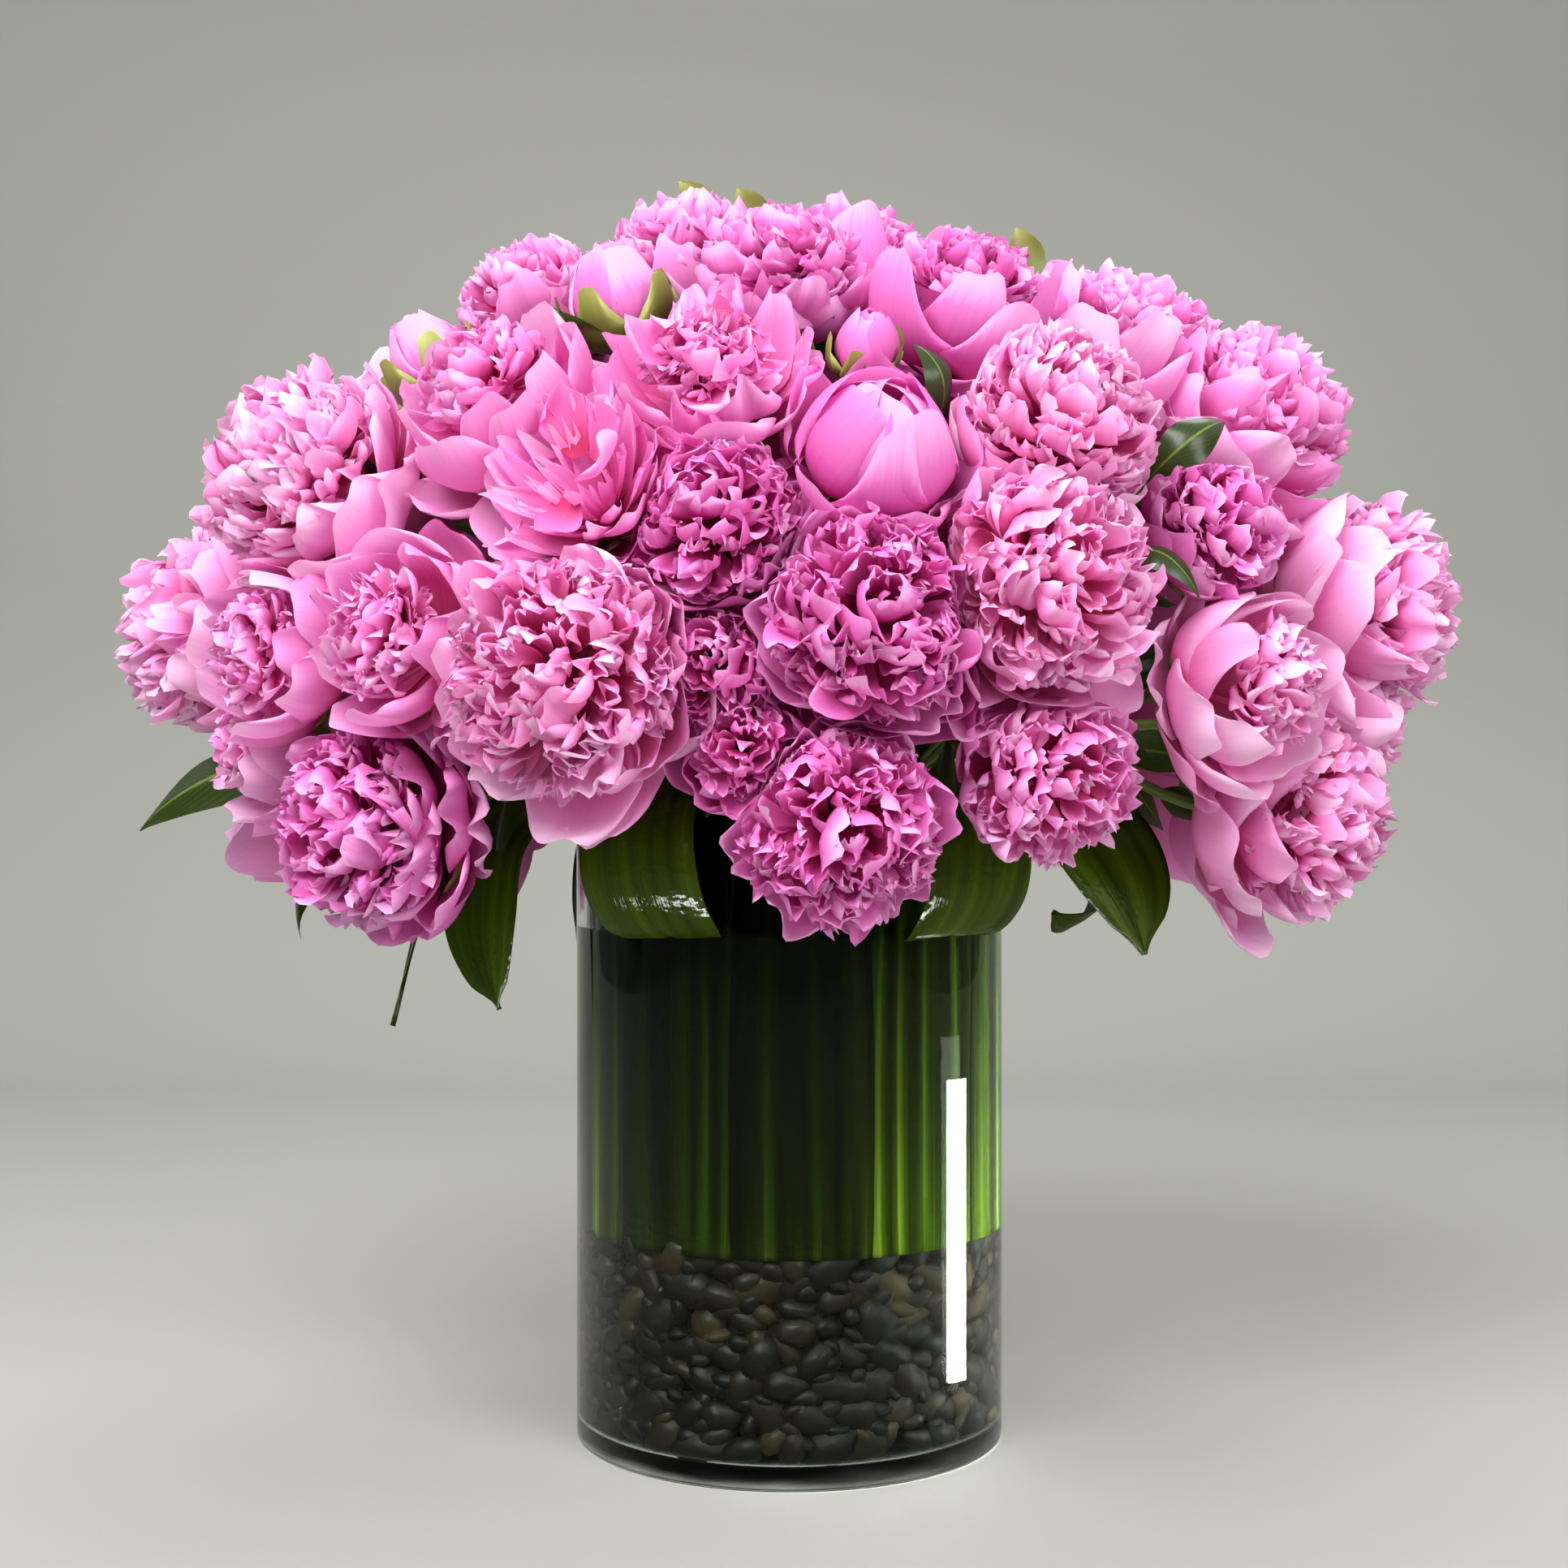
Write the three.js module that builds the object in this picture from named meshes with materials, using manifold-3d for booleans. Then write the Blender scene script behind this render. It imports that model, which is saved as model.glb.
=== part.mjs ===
// Peonies in a clear glass cylinder vase: a dome of pink double peonies over a collar of broad strap
// leaves, which also line the glass, with river pebbles, water and the gathered stems inside.
// Millimetres, +Z up. The origin is the middle of the vase's underside, and the front is towards -Y.

import * as THREE from "three";
import Module from "manifold-3d";

// Driving dimensions of the vase and what stands in it
const VASE_RADIUS = 125;
const VASE_HEIGHT = 380;
const VASE_SIDES = 48;
const WATER_SIDES = 36;
const GLASS_WALL = 5;
const GLASS_BASE = 12;
const GLASS_EDGE = 3;
const SEAT_GAP = 0.3;
const PEBBLE_DEPTH = 118;
const WATER_LEVEL = 300;
const STRAP_LEAVES = 10;
const STRAP_THICKNESS = 1.4;
const BUNCH_RADIUS = 48;
const BUNCH_STEMS = 18;
const NECK_HEIGHT = 350;
const STEM_RADIUS = 3.2;
const RIM_CLEARANCE = 26;

// The flower centres lie on this dome: half an ellipsoid above its widest level and half below,
// shallower at the back than at the front
const DOME = { halfWidth: 330, frontDepth: 228, backDepth: 198, rise: 204, drop: 268, waist: 469 };

// Point from which the flowers' places were sighted, level with the vase's rim
const EYE = new THREE.Vector3(0, -1355, 380);

// Flowers of the front. "seen" is the place across and above the table at which each one is sighted
// on the upright plane through the vase's axis, "size" its half width there, and "back" how much
// further away it sits than the dome's front.
const FRONT_FLOWERS = [
  { name: "peony_01", form: "bomb", seen: [-66, 702], size: 50, back: 62 },
  { name: "peony_02", form: "cup", seen: [50, 698], size: 50, back: 64 },
  { name: "peony_03", form: "cup", seen: [106, 664], size: 52, back: -2 },
  { name: "peony_04", form: "cup", seen: [200, 659], size: 49, back: -8 },
  { name: "peony_05", form: "bomb", seen: [240, 660], size: 42, back: 82 },
  { name: "peony_06", form: "bomb", seen: [275, 597], size: 54, back: 10 },
  { name: "peony_07", form: "bomb", seen: [-157, 672], size: 43, back: 72 },
  { name: "peony_08", form: "bud", seen: [-104, 674], size: 34, back: 0 },
  { name: "peony_09", form: "bud", seen: [-224, 638], size: 30, back: 20 },
  { name: "peony_10", form: "bomb", seen: [-4, 676], size: 47, back: 0 },
  { name: "peony_11", form: "cup", seen: [-174, 609], size: 53, back: 0 },
  { name: "peony_12", form: "open", seen: [-49, 622], size: 57, back: 0 },
  { name: "peony_13", form: "cup", seen: [54, 582], size: 54, back: 0 },
  { name: "peony_14", form: "bomb", seen: [153, 588], size: 60, back: 0 },
  { name: "peony_15", form: "bomb", seen: [-281, 558], size: 61, back: 10 },
  { name: "peony_16", form: "open", seen: [-120, 558], size: 57, back: 0 },
  { name: "peony_17", form: "bomb", seen: [-46, 533], size: 55, back: 14 },
  { name: "peony_18", form: "bomb", seen: [147, 499], size: 66, back: -6 },
  { name: "peony_19", form: "bomb", seen: [246, 531], size: 43, back: 10 },
  { name: "peony_20", form: "bomb", seen: [350, 486], size: 58, back: 24 },
  { name: "peony_21", form: "bomb", seen: [-346, 467], size: 57, back: 44 },
  { name: "peony_22", form: "cup", seen: [-303, 458], size: 48, back: -4 },
  { name: "peony_23", form: "cup", seen: [-231, 467], size: 51, back: 0 },
  { name: "peony_24", form: "bomb", seen: [-131, 448], size: 71, back: -8 },
  { name: "peony_25", form: "bomb", seen: [-42, 452], size: 40, back: 24 },
  { name: "peony_26", form: "bomb", seen: [48, 478], size: 64, back: 0 },
  { name: "peony_27", form: "cup", seen: [272, 438], size: 51, back: 0 },
  { name: "peony_28", form: "bomb", seen: [150, 388], size: 50, back: 4 },
  { name: "peony_29", form: "bomb", seen: [28, 359], size: 58, back: -10 },
  { name: "peony_30", form: "bomb", seen: [-246, 357], size: 55, back: 0 },
  { name: "peony_31", form: "bomb", seen: [296, 362], size: 55, back: 0 },
  { name: "peony_32", form: "bud", seen: [46, 640], size: 24, back: 2 },
  { name: "peony_20", form: "cup", seen: [338, 412], size: 44, back: 30 },
  { name: "peony_22", form: "cup", seen: [-308, 404], size: 40, back: 26 },
  { name: "peony_25", form: "cup", seen: [-28, 402], size: 40, back: 14 },
];

// Rows of flowers round the back of the dome: height angle over the waist in degrees, how many
// flowers, how many neighbours are joined in one solid, their reach, and how far out of the dome
const BACK_ROWS = [
  { angle: 62, from: 122, to: 238, count: 3, together: 1, size: 60, out: 0 },
  { angle: 35, from: 104, to: 256, count: 5, together: 1, size: 61, out: 0 },
  { angle: 7, from: 99, to: 261, count: 6, together: 2, size: 61, out: 0 },
  { angle: -17, from: 99, to: 261, count: 6, together: 2, size: 60, out: 20 },
];
const PAIR_SHIFT = 0.1;
const BACK_FORMS = ["bomb", "cup", "bomb", "open", "bomb"];

// Foliage between the flowers: where each leaf is sighted, its half length and the way its tip points
const FRONT_LEAVES = [
  { seen: [-157, 646], size: 34, tip: [1, 0.1], back: 4 },
  { seen: [237, 583], size: 34, tip: [1, 0.35], back: 0 },
  { seen: [86, 622], size: 26, tip: [-0.5, 1], back: 8 },
  { seen: [219, 512], size: 30, tip: [0.6, -1], back: 0 },
  { seen: [170, 634], size: 24, tip: [1, -0.3], back: 0 },
  { seen: [-352, 374], size: 44, tip: [-1, -0.6], back: 30 },
  { seen: [-292, 316], size: 36, tip: [0.7, -1], back: 10 },
];
const BACK_LEAVES = [
  { angle: 50, azimuth: 150 },
  { angle: 14, azimuth: 143 },
  { angle: 14, azimuth: 217 },
  { angle: -8, azimuth: 143 },
];
const BACK_LEAF_SIZE = 36;

// Profiles of the flower forms, from the stalk up to the crown, in parts of the flower's reach. Each
// row is [distance from the flower's axis, height along it, kind]. A "tip" row is the free rim of one
// layer of petals and is cut into petals, and the "fold" row after it is where the next layer starts.
const FORMS = {
  bomb: [
    [0.18, -0.82, "skin"], [0.8, -0.56, "skin"], [1.08, -0.08, "tip"], [0.8, -0.14, "fold"],
    [0.94, 0.34, "tip"], [0.62, 0.26, "fold"], [0.66, 0.74, "tip"], [0.34, 0.52, "fold"],
    [0.3, 0.98, "tip"], [0.1, 0.66, "fold"],
  ],
  cup: [
    [0.18, -0.84, "skin"], [0.78, -0.62, "skin"], [1.02, 0.02, "skin"], [0.94, 0.56, "tip"],
    [0.7, 0.1, "fold"], [0.64, 0.74, "tip"], [0.44, 0.32, "fold"], [0.36, 0.7, "tip"],
    [0.14, 0.34, "fold"],
  ],
  open: [
    [0.18, -0.66, "skin"], [0.76, -0.46, "skin"], [1.14, 0.02, "tip"], [0.76, -0.14, "fold"],
    [0.86, 0.42, "tip"], [0.5, 0.04, "fold"], [0.48, 0.56, "tip"], [0.2, 0.14, "fold"],
  ],
  bud: [
    [0.24, -0.96, "skin"], [0.72, -0.6, "skin"], [0.84, 0.06, "skin"], [0.58, 0.74, "tip"],
    [0.44, 0.44, "fold"], [0.26, 0.92, "tip"], [0.12, 0.66, "fold"],
  ],
};
const CROWN = { bomb: 0.78, cup: 0.5, open: 0.26, bud: 0.8 };
const COLUMNS = 12;
const FEWER_COLUMNS = 9;
const SMALL_REACH = 45;
const COLUMNS_PER_PETAL = 3;
const PETAL_CUT = 0.62;
const RUFFLE = 0.07;
const NEIGHBOUR_GAP = 0.8;
const PRESS_SHARPNESS = 9;
const SPREAD = 1.17;

// Strap leaves, outside the rim: distance from the vase's axis and height of the rib, then half
// width. "turn" is how far the leaf drifts round the vase in degrees, and "twist" how far it turns
// about its rib, in radians, by its tip.
const LOOP_PATH = [
  [137, 380, 30], [158, 370, 34], [172, 348, 36], [170, 320, 36], [154, 301, 33], [137, 300, 22],
  [129, 312, 8],
];
const COLLAR = {
  tucked: { turn: 0, twist: 0, path: [[136, 378, 22], [141, 356, 24], [139, 332, 18], [131, 314, 7]] },
  looped: { turn: -4, twist: 0, path: LOOP_PATH },
  frontLoop: { turn: 9, twist: 0, path: LOOP_PATH },
  looseLoop: {
    turn: 6,
    twist: -0.5,
    path: [[138, 381, 26], [168, 377, 30], [200, 362, 32], [222, 334, 32], [220, 306, 30], [202, 294, 22],
      [186, 300, 8]],
  },
  arched: {
    turn: -8,
    twist: -1,
    path: [[137, 381, 27], [158, 374, 33], [184, 354, 36], [205, 322, 26], [214, 286, 4]],
  },
  hanging: {
    turn: 8,
    twist: 0.9,
    path: [[137, 380, 25], [160, 372, 26], [184, 346, 26], [192, 308, 25], [190, 278, 16], [184, 256, 3]],
  },
  trailing: {
    turn: 2,
    twist: 0.6,
    path: [[138, 380, 22], [170, 372, 20], [210, 340, 17], [234, 292, 11], [250, 232, 2]],
  },
};
const COLLAR_ORDER = [
  "tucked", "looped", "arched", "looseLoop", "looped", "looped", "hanging", "trailing", "hanging",
  "frontLoop",
];
const FIRST_LEAF_AZIMUTH = 3.2;

// Materials
const petalPink = new THREE.MeshStandardMaterial({ color: 0xe06cbc, roughness: 0.6, metalness: 0 });
const strapGreen = new THREE.MeshStandardMaterial({ color: 0x33520c, roughness: 0.3, metalness: 0 });
const stemGreen = new THREE.MeshStandardMaterial({ color: 0x4a6a22, roughness: 0.55, metalness: 0 });
const clearGlass = new THREE.MeshStandardMaterial({ color: 0xdfe8e2, roughness: 0.03, metalness: 0 });
const clearWater = new THREE.MeshStandardMaterial({ color: 0xd8e4dc, roughness: 0.02, metalness: 0 });
const riverStone = new THREE.MeshStandardMaterial({ color: 0x2f2a20, roughness: 0.5, metalness: 0 });

const UP = new THREE.Vector3(0, 0, 1);
const DEGREE = Math.PI / 180;

// Repeatable draw from 0 to 1: the fraction of a large sine of the two whole numbers
function draw(seed, index) {
  const value = Math.sin(seed * 12.9898 + index * 78.233) * 43758.5453;
  return value - Math.floor(value);
}

function aroundAxis(radius, azimuth, height) {
  return new THREE.Vector3(radius * Math.sin(azimuth), -radius * Math.cos(azimuth), height);
}

// Solid turned about the vase's axis from a profile of [radius, height] points
function turned(profile, sides) {
  const outline = profile.map(([radius, height]) => new THREE.Vector2(radius, height));
  return new THREE.LatheGeometry(outline, sides).rotateX(Math.PI / 2);
}

// Closed solid from rings of points between two poles. Each ring runs anticlockwise as seen from the
// end pole. A blade's ring goes out along one wall and back along the other, and the second wall is
// split along the same diagonals as the first, so that two walls close together never cross.
function loft(startPole, rings, endPole, isBlade = false) {
  const count = rings[0].length;
  const points = [startPole, ...rings.flat(), endPole];
  const last = points.length - 1;
  const index = [];
  for (let k = 0; k < count; k += 1) {
    const next = (k + 1) % count;
    index.push(0, 1 + next, 1 + k);
    for (let r = 0; r + 1 < rings.length; r += 1) {
      const low = 1 + r * count;
      const high = low + count;
      if (isBlade && k >= count / 2) {
        index.push(low + k, low + next, high + k);
        index.push(low + next, high + next, high + k);
      } else {
        index.push(low + k, low + next, high + next);
        index.push(low + k, high + next, high + k);
      }
    }
    const top = last - count;
    index.push(last, top + k, top + next);
  }
  const geometry = new THREE.BufferGeometry();
  const positions = points.flatMap((point) => [point.x, point.y, point.z]);
  geometry.setAttribute("position", new THREE.Float32BufferAttribute(positions, 3));
  geometry.setIndex(index);
  return geometry;
}

// Joining closed solids that overlap. Hollows that the joining seals are filled.
const JOIN_TOLERANCE = 0.05;
const wasm = await Module();
wasm.setup();

function toSolid(geometry) {
  const vertProperties = new Float32Array(geometry.attributes.position.array);
  const triVerts = new Uint32Array(geometry.index.array);
  return new wasm.Manifold(new wasm.Mesh({ numProp: 3, vertProperties, triVerts }));
}

function joined(geometries) {
  let whole = toSolid(geometries[0]);
  for (const geometry of geometries.slice(1)) {
    whole = whole.add(toSolid(geometry));
  }
  const bodies = whole.decompose();
  const largest = bodies.reduce((best, body) => (body.volume() > best.volume() ? body : best));
  const mesh = largest.simplify(JOIN_TOLERANCE).getMesh();
  const geometry = new THREE.BufferGeometry();
  geometry.setAttribute("position", new THREE.Float32BufferAttribute(mesh.vertProperties, 3));
  geometry.setIndex(Array.from(mesh.triVerts));
  return geometry;
}

// Places on the dome

function domeHalfAxes(point) {
  const depth = point.y > 0 ? DOME.backDepth : DOME.frontDepth;
  const height = point.z > DOME.waist ? DOME.rise : DOME.drop;
  return new THREE.Vector3(DOME.halfWidth, depth, height);
}

// Where the line of sight through a place on the upright plane first meets the front of the dome. A
// line that misses takes the dome's point nearest to it.
function sighted(across, above, back) {
  const direction = new THREE.Vector3(across, 0, above).sub(EYE).normalize();
  let place = null;
  for (const half of [DOME.rise, DOME.drop]) {
    const axes = new THREE.Vector3(DOME.halfWidth, DOME.frontDepth, half);
    const start = EYE.clone().sub(new THREE.Vector3(0, 0, DOME.waist)).divide(axes);
    const slope = direction.clone().divide(axes);
    const a = slope.dot(slope);
    const b = start.dot(slope);
    const c = start.dot(start) - 1;
    const room = b * b - a * c;
    const reach = (-b - Math.sqrt(Math.max(room, 0))) / a;
    const onUnit = start.addScaledVector(slope, reach).normalize();
    const point = onUnit.multiply(axes).add(new THREE.Vector3(0, 0, DOME.waist));
    if (place === null || (point.z < DOME.waist && half === DOME.drop)) {
      place = point;
    }
  }
  return place.addScaledVector(direction, back);
}

function onBack(angle, azimuth) {
  const half = angle > 0 ? DOME.rise : DOME.drop;
  const spread = Math.cos(angle * DEGREE);
  return new THREE.Vector3(
    DOME.halfWidth * spread * Math.sin(azimuth * DEGREE),
    -DOME.backDepth * spread * Math.cos(azimuth * DEGREE),
    DOME.waist + half * Math.sin(angle * DEGREE),
  );
}

// A head is a flower or a leaf at the end of its stem: its centre, its reach, and the way it faces,
// square to the dome and partly away from the vase's neck
function facing(centre) {
  const axes = domeHalfAxes(centre);
  const square = centre.clone().sub(new THREE.Vector3(0, 0, DOME.waist)).divide(axes).divide(axes);
  const away = centre.clone().sub(new THREE.Vector3(0, 0, NECK_HEIGHT)).normalize();
  const face = square.normalize().multiplyScalar(0.55).addScaledVector(away, 0.45);
  face.z = Math.max(face.z, -0.12);
  return face.normalize();
}

function sightedHead(entry, seed) {
  const centre = sighted(entry.seen[0], entry.seen[1], entry.back);
  const reach = (entry.size * (centre.y - EYE.y)) / -EYE.y;
  return { ...entry, seed, centre, reach, face: facing(centre) };
}

const heads = FRONT_FLOWERS.map((entry, k) => sightedHead(entry, k + 1));
let nodeNumber = new Set(heads.map((head) => head.name)).size + 1;
BACK_ROWS.forEach((row, r) => {
  for (let k = 0; k < row.count; k += 1) {
    const seed = 101 + r * 10 + k;
    const middle = (row.count - 1) / 2;
    const partner = row.together === 2 ? PAIR_SHIFT * (-1) ** k : 0;
    const step = (row.to - row.from) / row.count;
    const azimuth = (row.from + row.to) / 2 + (k - middle + partner) * step;
    const centre = onBack(row.angle + 5 * (draw(seed, 1) - 0.5), azimuth);
    centre.add(aroundAxis(row.out, azimuth * DEGREE, 0));
    const name = `peony_${nodeNumber}`;
    const form = BACK_FORMS[(r * 2 + k) % BACK_FORMS.length];
    heads.push({ name, form, seed, centre, reach: row.size, face: facing(centre) });
    if (row.together === 1 || k % 2 === 1) {
      nodeNumber += 1;
    }
  }
});
FRONT_LEAVES.forEach((entry, k) => {
  heads.push({ ...sightedHead(entry, 201 + k), name: `leaf_${k}`, form: "leaf" });
});
BACK_LEAVES.forEach((entry, k) => {
  const centre = onBack(entry.angle, entry.azimuth);
  const tip = [draw(k, 5) - 0.5, draw(k, 6) - 0.7];
  const seed = 221 + k;
  const face = facing(centre);
  heads.push({ name: `back_leaf_${k}`, form: "leaf", seed, centre, reach: BACK_LEAF_SIZE, tip, face });
});

// Flat limits round a head: halfway planes to its neighbours, shared in proportion to their reach,
// and for a low head a plane that keeps it off the vase and its collar
function limitsOf(head) {
  const limits = [];
  for (const other of heads) {
    const away = other.centre.clone().sub(head.centre);
    const distance = away.length();
    if (other.name === head.name || distance > head.reach + other.reach + 60) {
      continue;
    }
    const share = head.reach / (head.reach + other.reach);
    limits.push({ normal: away.normalize(), distance: distance * share - NEIGHBOUR_GAP / 2 });
  }
  if (head.centre.z < VASE_HEIGHT + head.reach + 10) {
    const inward = new THREE.Vector3(-head.centre.x, -head.centre.y, 0);
    const room = inward.length() - (VASE_RADIUS + RIM_CLEARANCE);
    limits.push({ normal: inward.normalize(), distance: room });
  }
  return limits;
}

// Distance from the head's centre to its nearest limit, going the way of a unit vector
function roomTowards(limits, arm) {
  const rooms = limits.map((limit) => {
    const lean = arm.dot(limit.normal);
    return lean > 0 ? limit.distance / lean : Infinity;
  });
  return Math.min(...rooms);
}

// Moves a point straight towards the head's centre, the more the nearer it comes to a limit, so that
// no limit is ever crossed
function pressed(head, limits, point) {
  const arm = point.clone().sub(head.centre);
  const length = arm.length();
  arm.divideScalar(length);
  const crowding = (length / roomTowards(limits, arm)) ** PRESS_SHARPNESS;
  return head.centre.clone().addScaledVector(arm, length / (1 + crowding) ** (1 / PRESS_SHARPNESS));
}

function headFrame(head) {
  const side = new THREE.Vector3().crossVectors(UP, head.face).normalize();
  const over = new THREE.Vector3().crossVectors(head.face, side);
  return { side, over };
}

// Middle of the small flat foot by which a flower sits on its stem
function underside(head, limits) {
  const depth = FORMS[head.form][0][1] * head.reach;
  return pressed(head, limits, head.centre.clone().addScaledVector(head.face, depth));
}

// Flowers: one closed surface in layers. Each layer rises to a rim that is cut into petals and then
// folds back to the root of the next layer, whose petals stand in the gaps of the one before.
function flowerGeometry(head) {
  const { side, over } = headFrame(head);
  const limits = limitsOf(head);
  const rows = FORMS[head.form];
  const turn = draw(head.seed, 2) * 2 * Math.PI;
  const columns = head.reach < SMALL_REACH || head.centre.y > 30 ? FEWER_COLUMNS : COLUMNS;
  const place = (distance, height, angle) => {
    const point = head.centre.clone();
    point.addScaledVector(side, head.reach * SPREAD * distance * Math.cos(angle));
    point.addScaledVector(over, head.reach * SPREAD * distance * Math.sin(angle));
    point.addScaledVector(head.face, head.reach * height);
    return pressed(head, limits, point);
  };
  let layer = 0;
  const rings = rows.map(([distance, height, kind], r) => {
    const ring = [];
    const next = rows[Math.min(r + 1, rows.length - 1)];
    for (let k = 0; k < columns; k += 1) {
      const notch = kind === "tip" && (k + layer) % COLUMNS_PER_PETAL === 0;
      const cut = notch ? PETAL_CUT : 0;
      const wave = kind === "tip" ? RUFFLE * (2 * draw(head.seed, 10 + r * columns + k) - 1) : 0;
      const out = distance + cut * (next[0] - distance) + wave;
      const high = height + cut * (next[1] - height) + wave * 0.8;
      ring.push(place(out, high, turn + (k * 2 * Math.PI) / columns));
    }
    layer += kind === "tip" ? 1 : 0;
    return ring;
  });
  const foot = underside(head, limits);
  const footRadius = rows[0][0] * head.reach;
  rings[0] = rings[0].map((_, k) => {
    const angle = turn + (k * 2 * Math.PI) / columns;
    const point = foot.clone().addScaledVector(side, footRadius * Math.cos(angle));
    return point.addScaledVector(over, footRadius * Math.sin(angle));
  });
  return loft(foot, rings, place(0.001, CROWN[head.form], 0));
}

// A leaf of the foliage: a lens-shaped blade, folded along its rib, which rises between the flowers
// and bends over towards its tip
const LEAF_STATIONS = 5;
const LEAF_HALF_WIDTH = 0.42;
const LEAF_THICKNESS = 1.6;

function foliageRings(head, size) {
  const frame = headFrame(head);
  const towards = frame.side.clone().multiplyScalar(head.tip[0]).addScaledVector(frame.over, head.tip[1]);
  towards.normalize();
  const across = new THREE.Vector3().crossVectors(head.face, towards);
  const at = (along, height) => head.centre.clone()
    .addScaledVector(towards, along * size)
    .addScaledVector(head.face, height * size);
  const rib = new THREE.QuadraticBezierCurve3(at(-0.45, -0.95), at(-0.6, 0.6), at(1.05, 0.3));
  const rings = [];
  for (let k = 0; k < LEAF_STATIONS; k += 1) {
    const t = 0.06 + (0.86 * k) / (LEAF_STATIONS - 1);
    const middle = rib.getPoint(t);
    const square = new THREE.Vector3().crossVectors(rib.getTangent(t), across).normalize();
    const half = size * LEAF_HALF_WIDTH * Math.sin(Math.PI * t ** 0.85) + 1.5;
    const edge = (sign) => middle.clone()
      .addScaledVector(across, sign * half)
      .addScaledVector(square, -0.2 * half);
    rings.push([
      edge(-1),
      middle.clone().addScaledVector(square, -LEAF_THICKNESS / 2),
      edge(1),
      middle.clone().addScaledVector(square, LEAF_THICKNESS / 2),
    ]);
  }
  return { rings, rib, across };
}

// Size of a leaf that keeps all of it inside its limits
function foliageSize(head) {
  const limits = limitsOf(head);
  const { rings, rib } = foliageRings(head, head.reach);
  const fits = [...rings.flat(), rib.getPoint(0), rib.getPoint(1)].map((point) => {
    const arm = point.clone().sub(head.centre);
    return roomTowards(limits, arm.clone().normalize()) / arm.length();
  });
  return head.reach * Math.min(1, ...fits);
}

function foliageGeometry(head) {
  const { rings, rib } = foliageRings(head, foliageSize(head));
  return loft(rib.getPoint(0), rings, rib.getPoint(1), true);
}

// Stems: a fluted bunch that stands on the pebbles, and a stem from its top to every head. A stem
// widens into a green cup under its flower, and one to a low flower first passes over the rim.
function stemGeometry(points, radii, azimuth) {
  const sideways = new THREE.Vector3(Math.cos(azimuth), Math.sin(azimuth), 0);
  const rings = points.map((point, k) => {
    const ahead = points[Math.min(k + 1, points.length - 1)];
    const behind = points[Math.max(k - 1, 0)];
    const along = ahead.clone().sub(behind).normalize();
    const side = sideways.clone().addScaledVector(along, -sideways.dot(along)).normalize();
    const over = new THREE.Vector3().crossVectors(along, side);
    const ring = [];
    for (let s = 0; s < STEM_SIDES; s += 1) {
      const angle = (s * 2 * Math.PI) / STEM_SIDES;
      const corner = point.clone().addScaledVector(side, radii[k] * Math.cos(angle));
      ring.push(corner.addScaledVector(over, radii[k] * Math.sin(angle)));
    }
    return ring;
  });
  return loft(points[0], rings, points[points.length - 1]);
}

const STEM_SIDES = 3;
const STALK_LENGTH = 22;
const CUP_RADIUS = { bomb: 9, cup: 9, open: 8, bud: 8 };

function stemOf(head) {
  const azimuth = Math.atan2(head.centre.x, -head.centre.y);
  const flat = Math.hypot(head.centre.x, head.centre.y);
  const rise = head.centre.z - NECK_HEIGHT;
  const lean = flat / Math.hypot(flat, Math.max(rise, 0));
  const root = aroundAxis((BUNCH_RADIUS - 5) * lean, azimuth, NECK_HEIGHT - 8);
  if (head.form === "leaf") {
    const { rib, across } = foliageRings(head, foliageSize(head));
    const seat = rib.getPoint(0.17).addScaledVector(across, 0.7);
    const bend = seat.clone().addScaledVector(head.face, -0.5 * head.reach);
    const path = [root, overRim(root, bend, azimuth), seat];
    return stemGeometry(path, [STEM_RADIUS, STEM_RADIUS, 2.6], azimuth);
  }
  const seat = underside(head, limitsOf(head)).addScaledVector(head.face, -SEAT_GAP);
  const bend = seat.clone().addScaledVector(head.face, -STALK_LENGTH);
  const cup = CUP_RADIUS[head.form];
  const path = [root, overRim(root, bend, azimuth), bend, seat];
  return stemGeometry(path, [STEM_RADIUS, STEM_RADIUS, STEM_RADIUS, cup], azimuth);
}

// Halfway point of a stem, lifted over the rim where the head is low
function overRim(root, end, azimuth) {
  const halfway = root.clone().lerp(end, 0.5);
  const level = VASE_HEIGHT + RIM_CLEARANCE;
  if (end.z < level + 30) {
    return aroundAxis(VASE_RADIUS + 3, azimuth, level);
  }
  return halfway.addScaledVector(UP, 12);
}

const pebbleTop = GLASS_BASE + PEBBLE_DEPTH;
const bunchFoot = pebbleTop + SEAT_GAP;

function bunchGeometry() {
  const flute = (height, scale) => {
    const ring = [];
    for (let k = 0; k < BUNCH_STEMS * 2; k += 1) {
      const radius = k % 2 === 0 ? BUNCH_RADIUS : BUNCH_RADIUS - 4;
      const azimuth = (k * Math.PI) / BUNCH_STEMS;
      ring.push(aroundAxis(radius * scale, azimuth, height));
    }
    return ring;
  };
  const rings = [flute(bunchFoot, 1), flute(NECK_HEIGHT, 1)];
  return loft(new THREE.Vector3(0, 0, bunchFoot), rings, new THREE.Vector3(0, 0, NECK_HEIGHT));
}

function stemsGeometry() {
  const solids = [bunchGeometry(), ...heads.map(stemOf)];
  solids.push(...heads.filter((head) => head.form === "leaf").map(foliageGeometry));
  return joined(solids);
}

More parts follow.
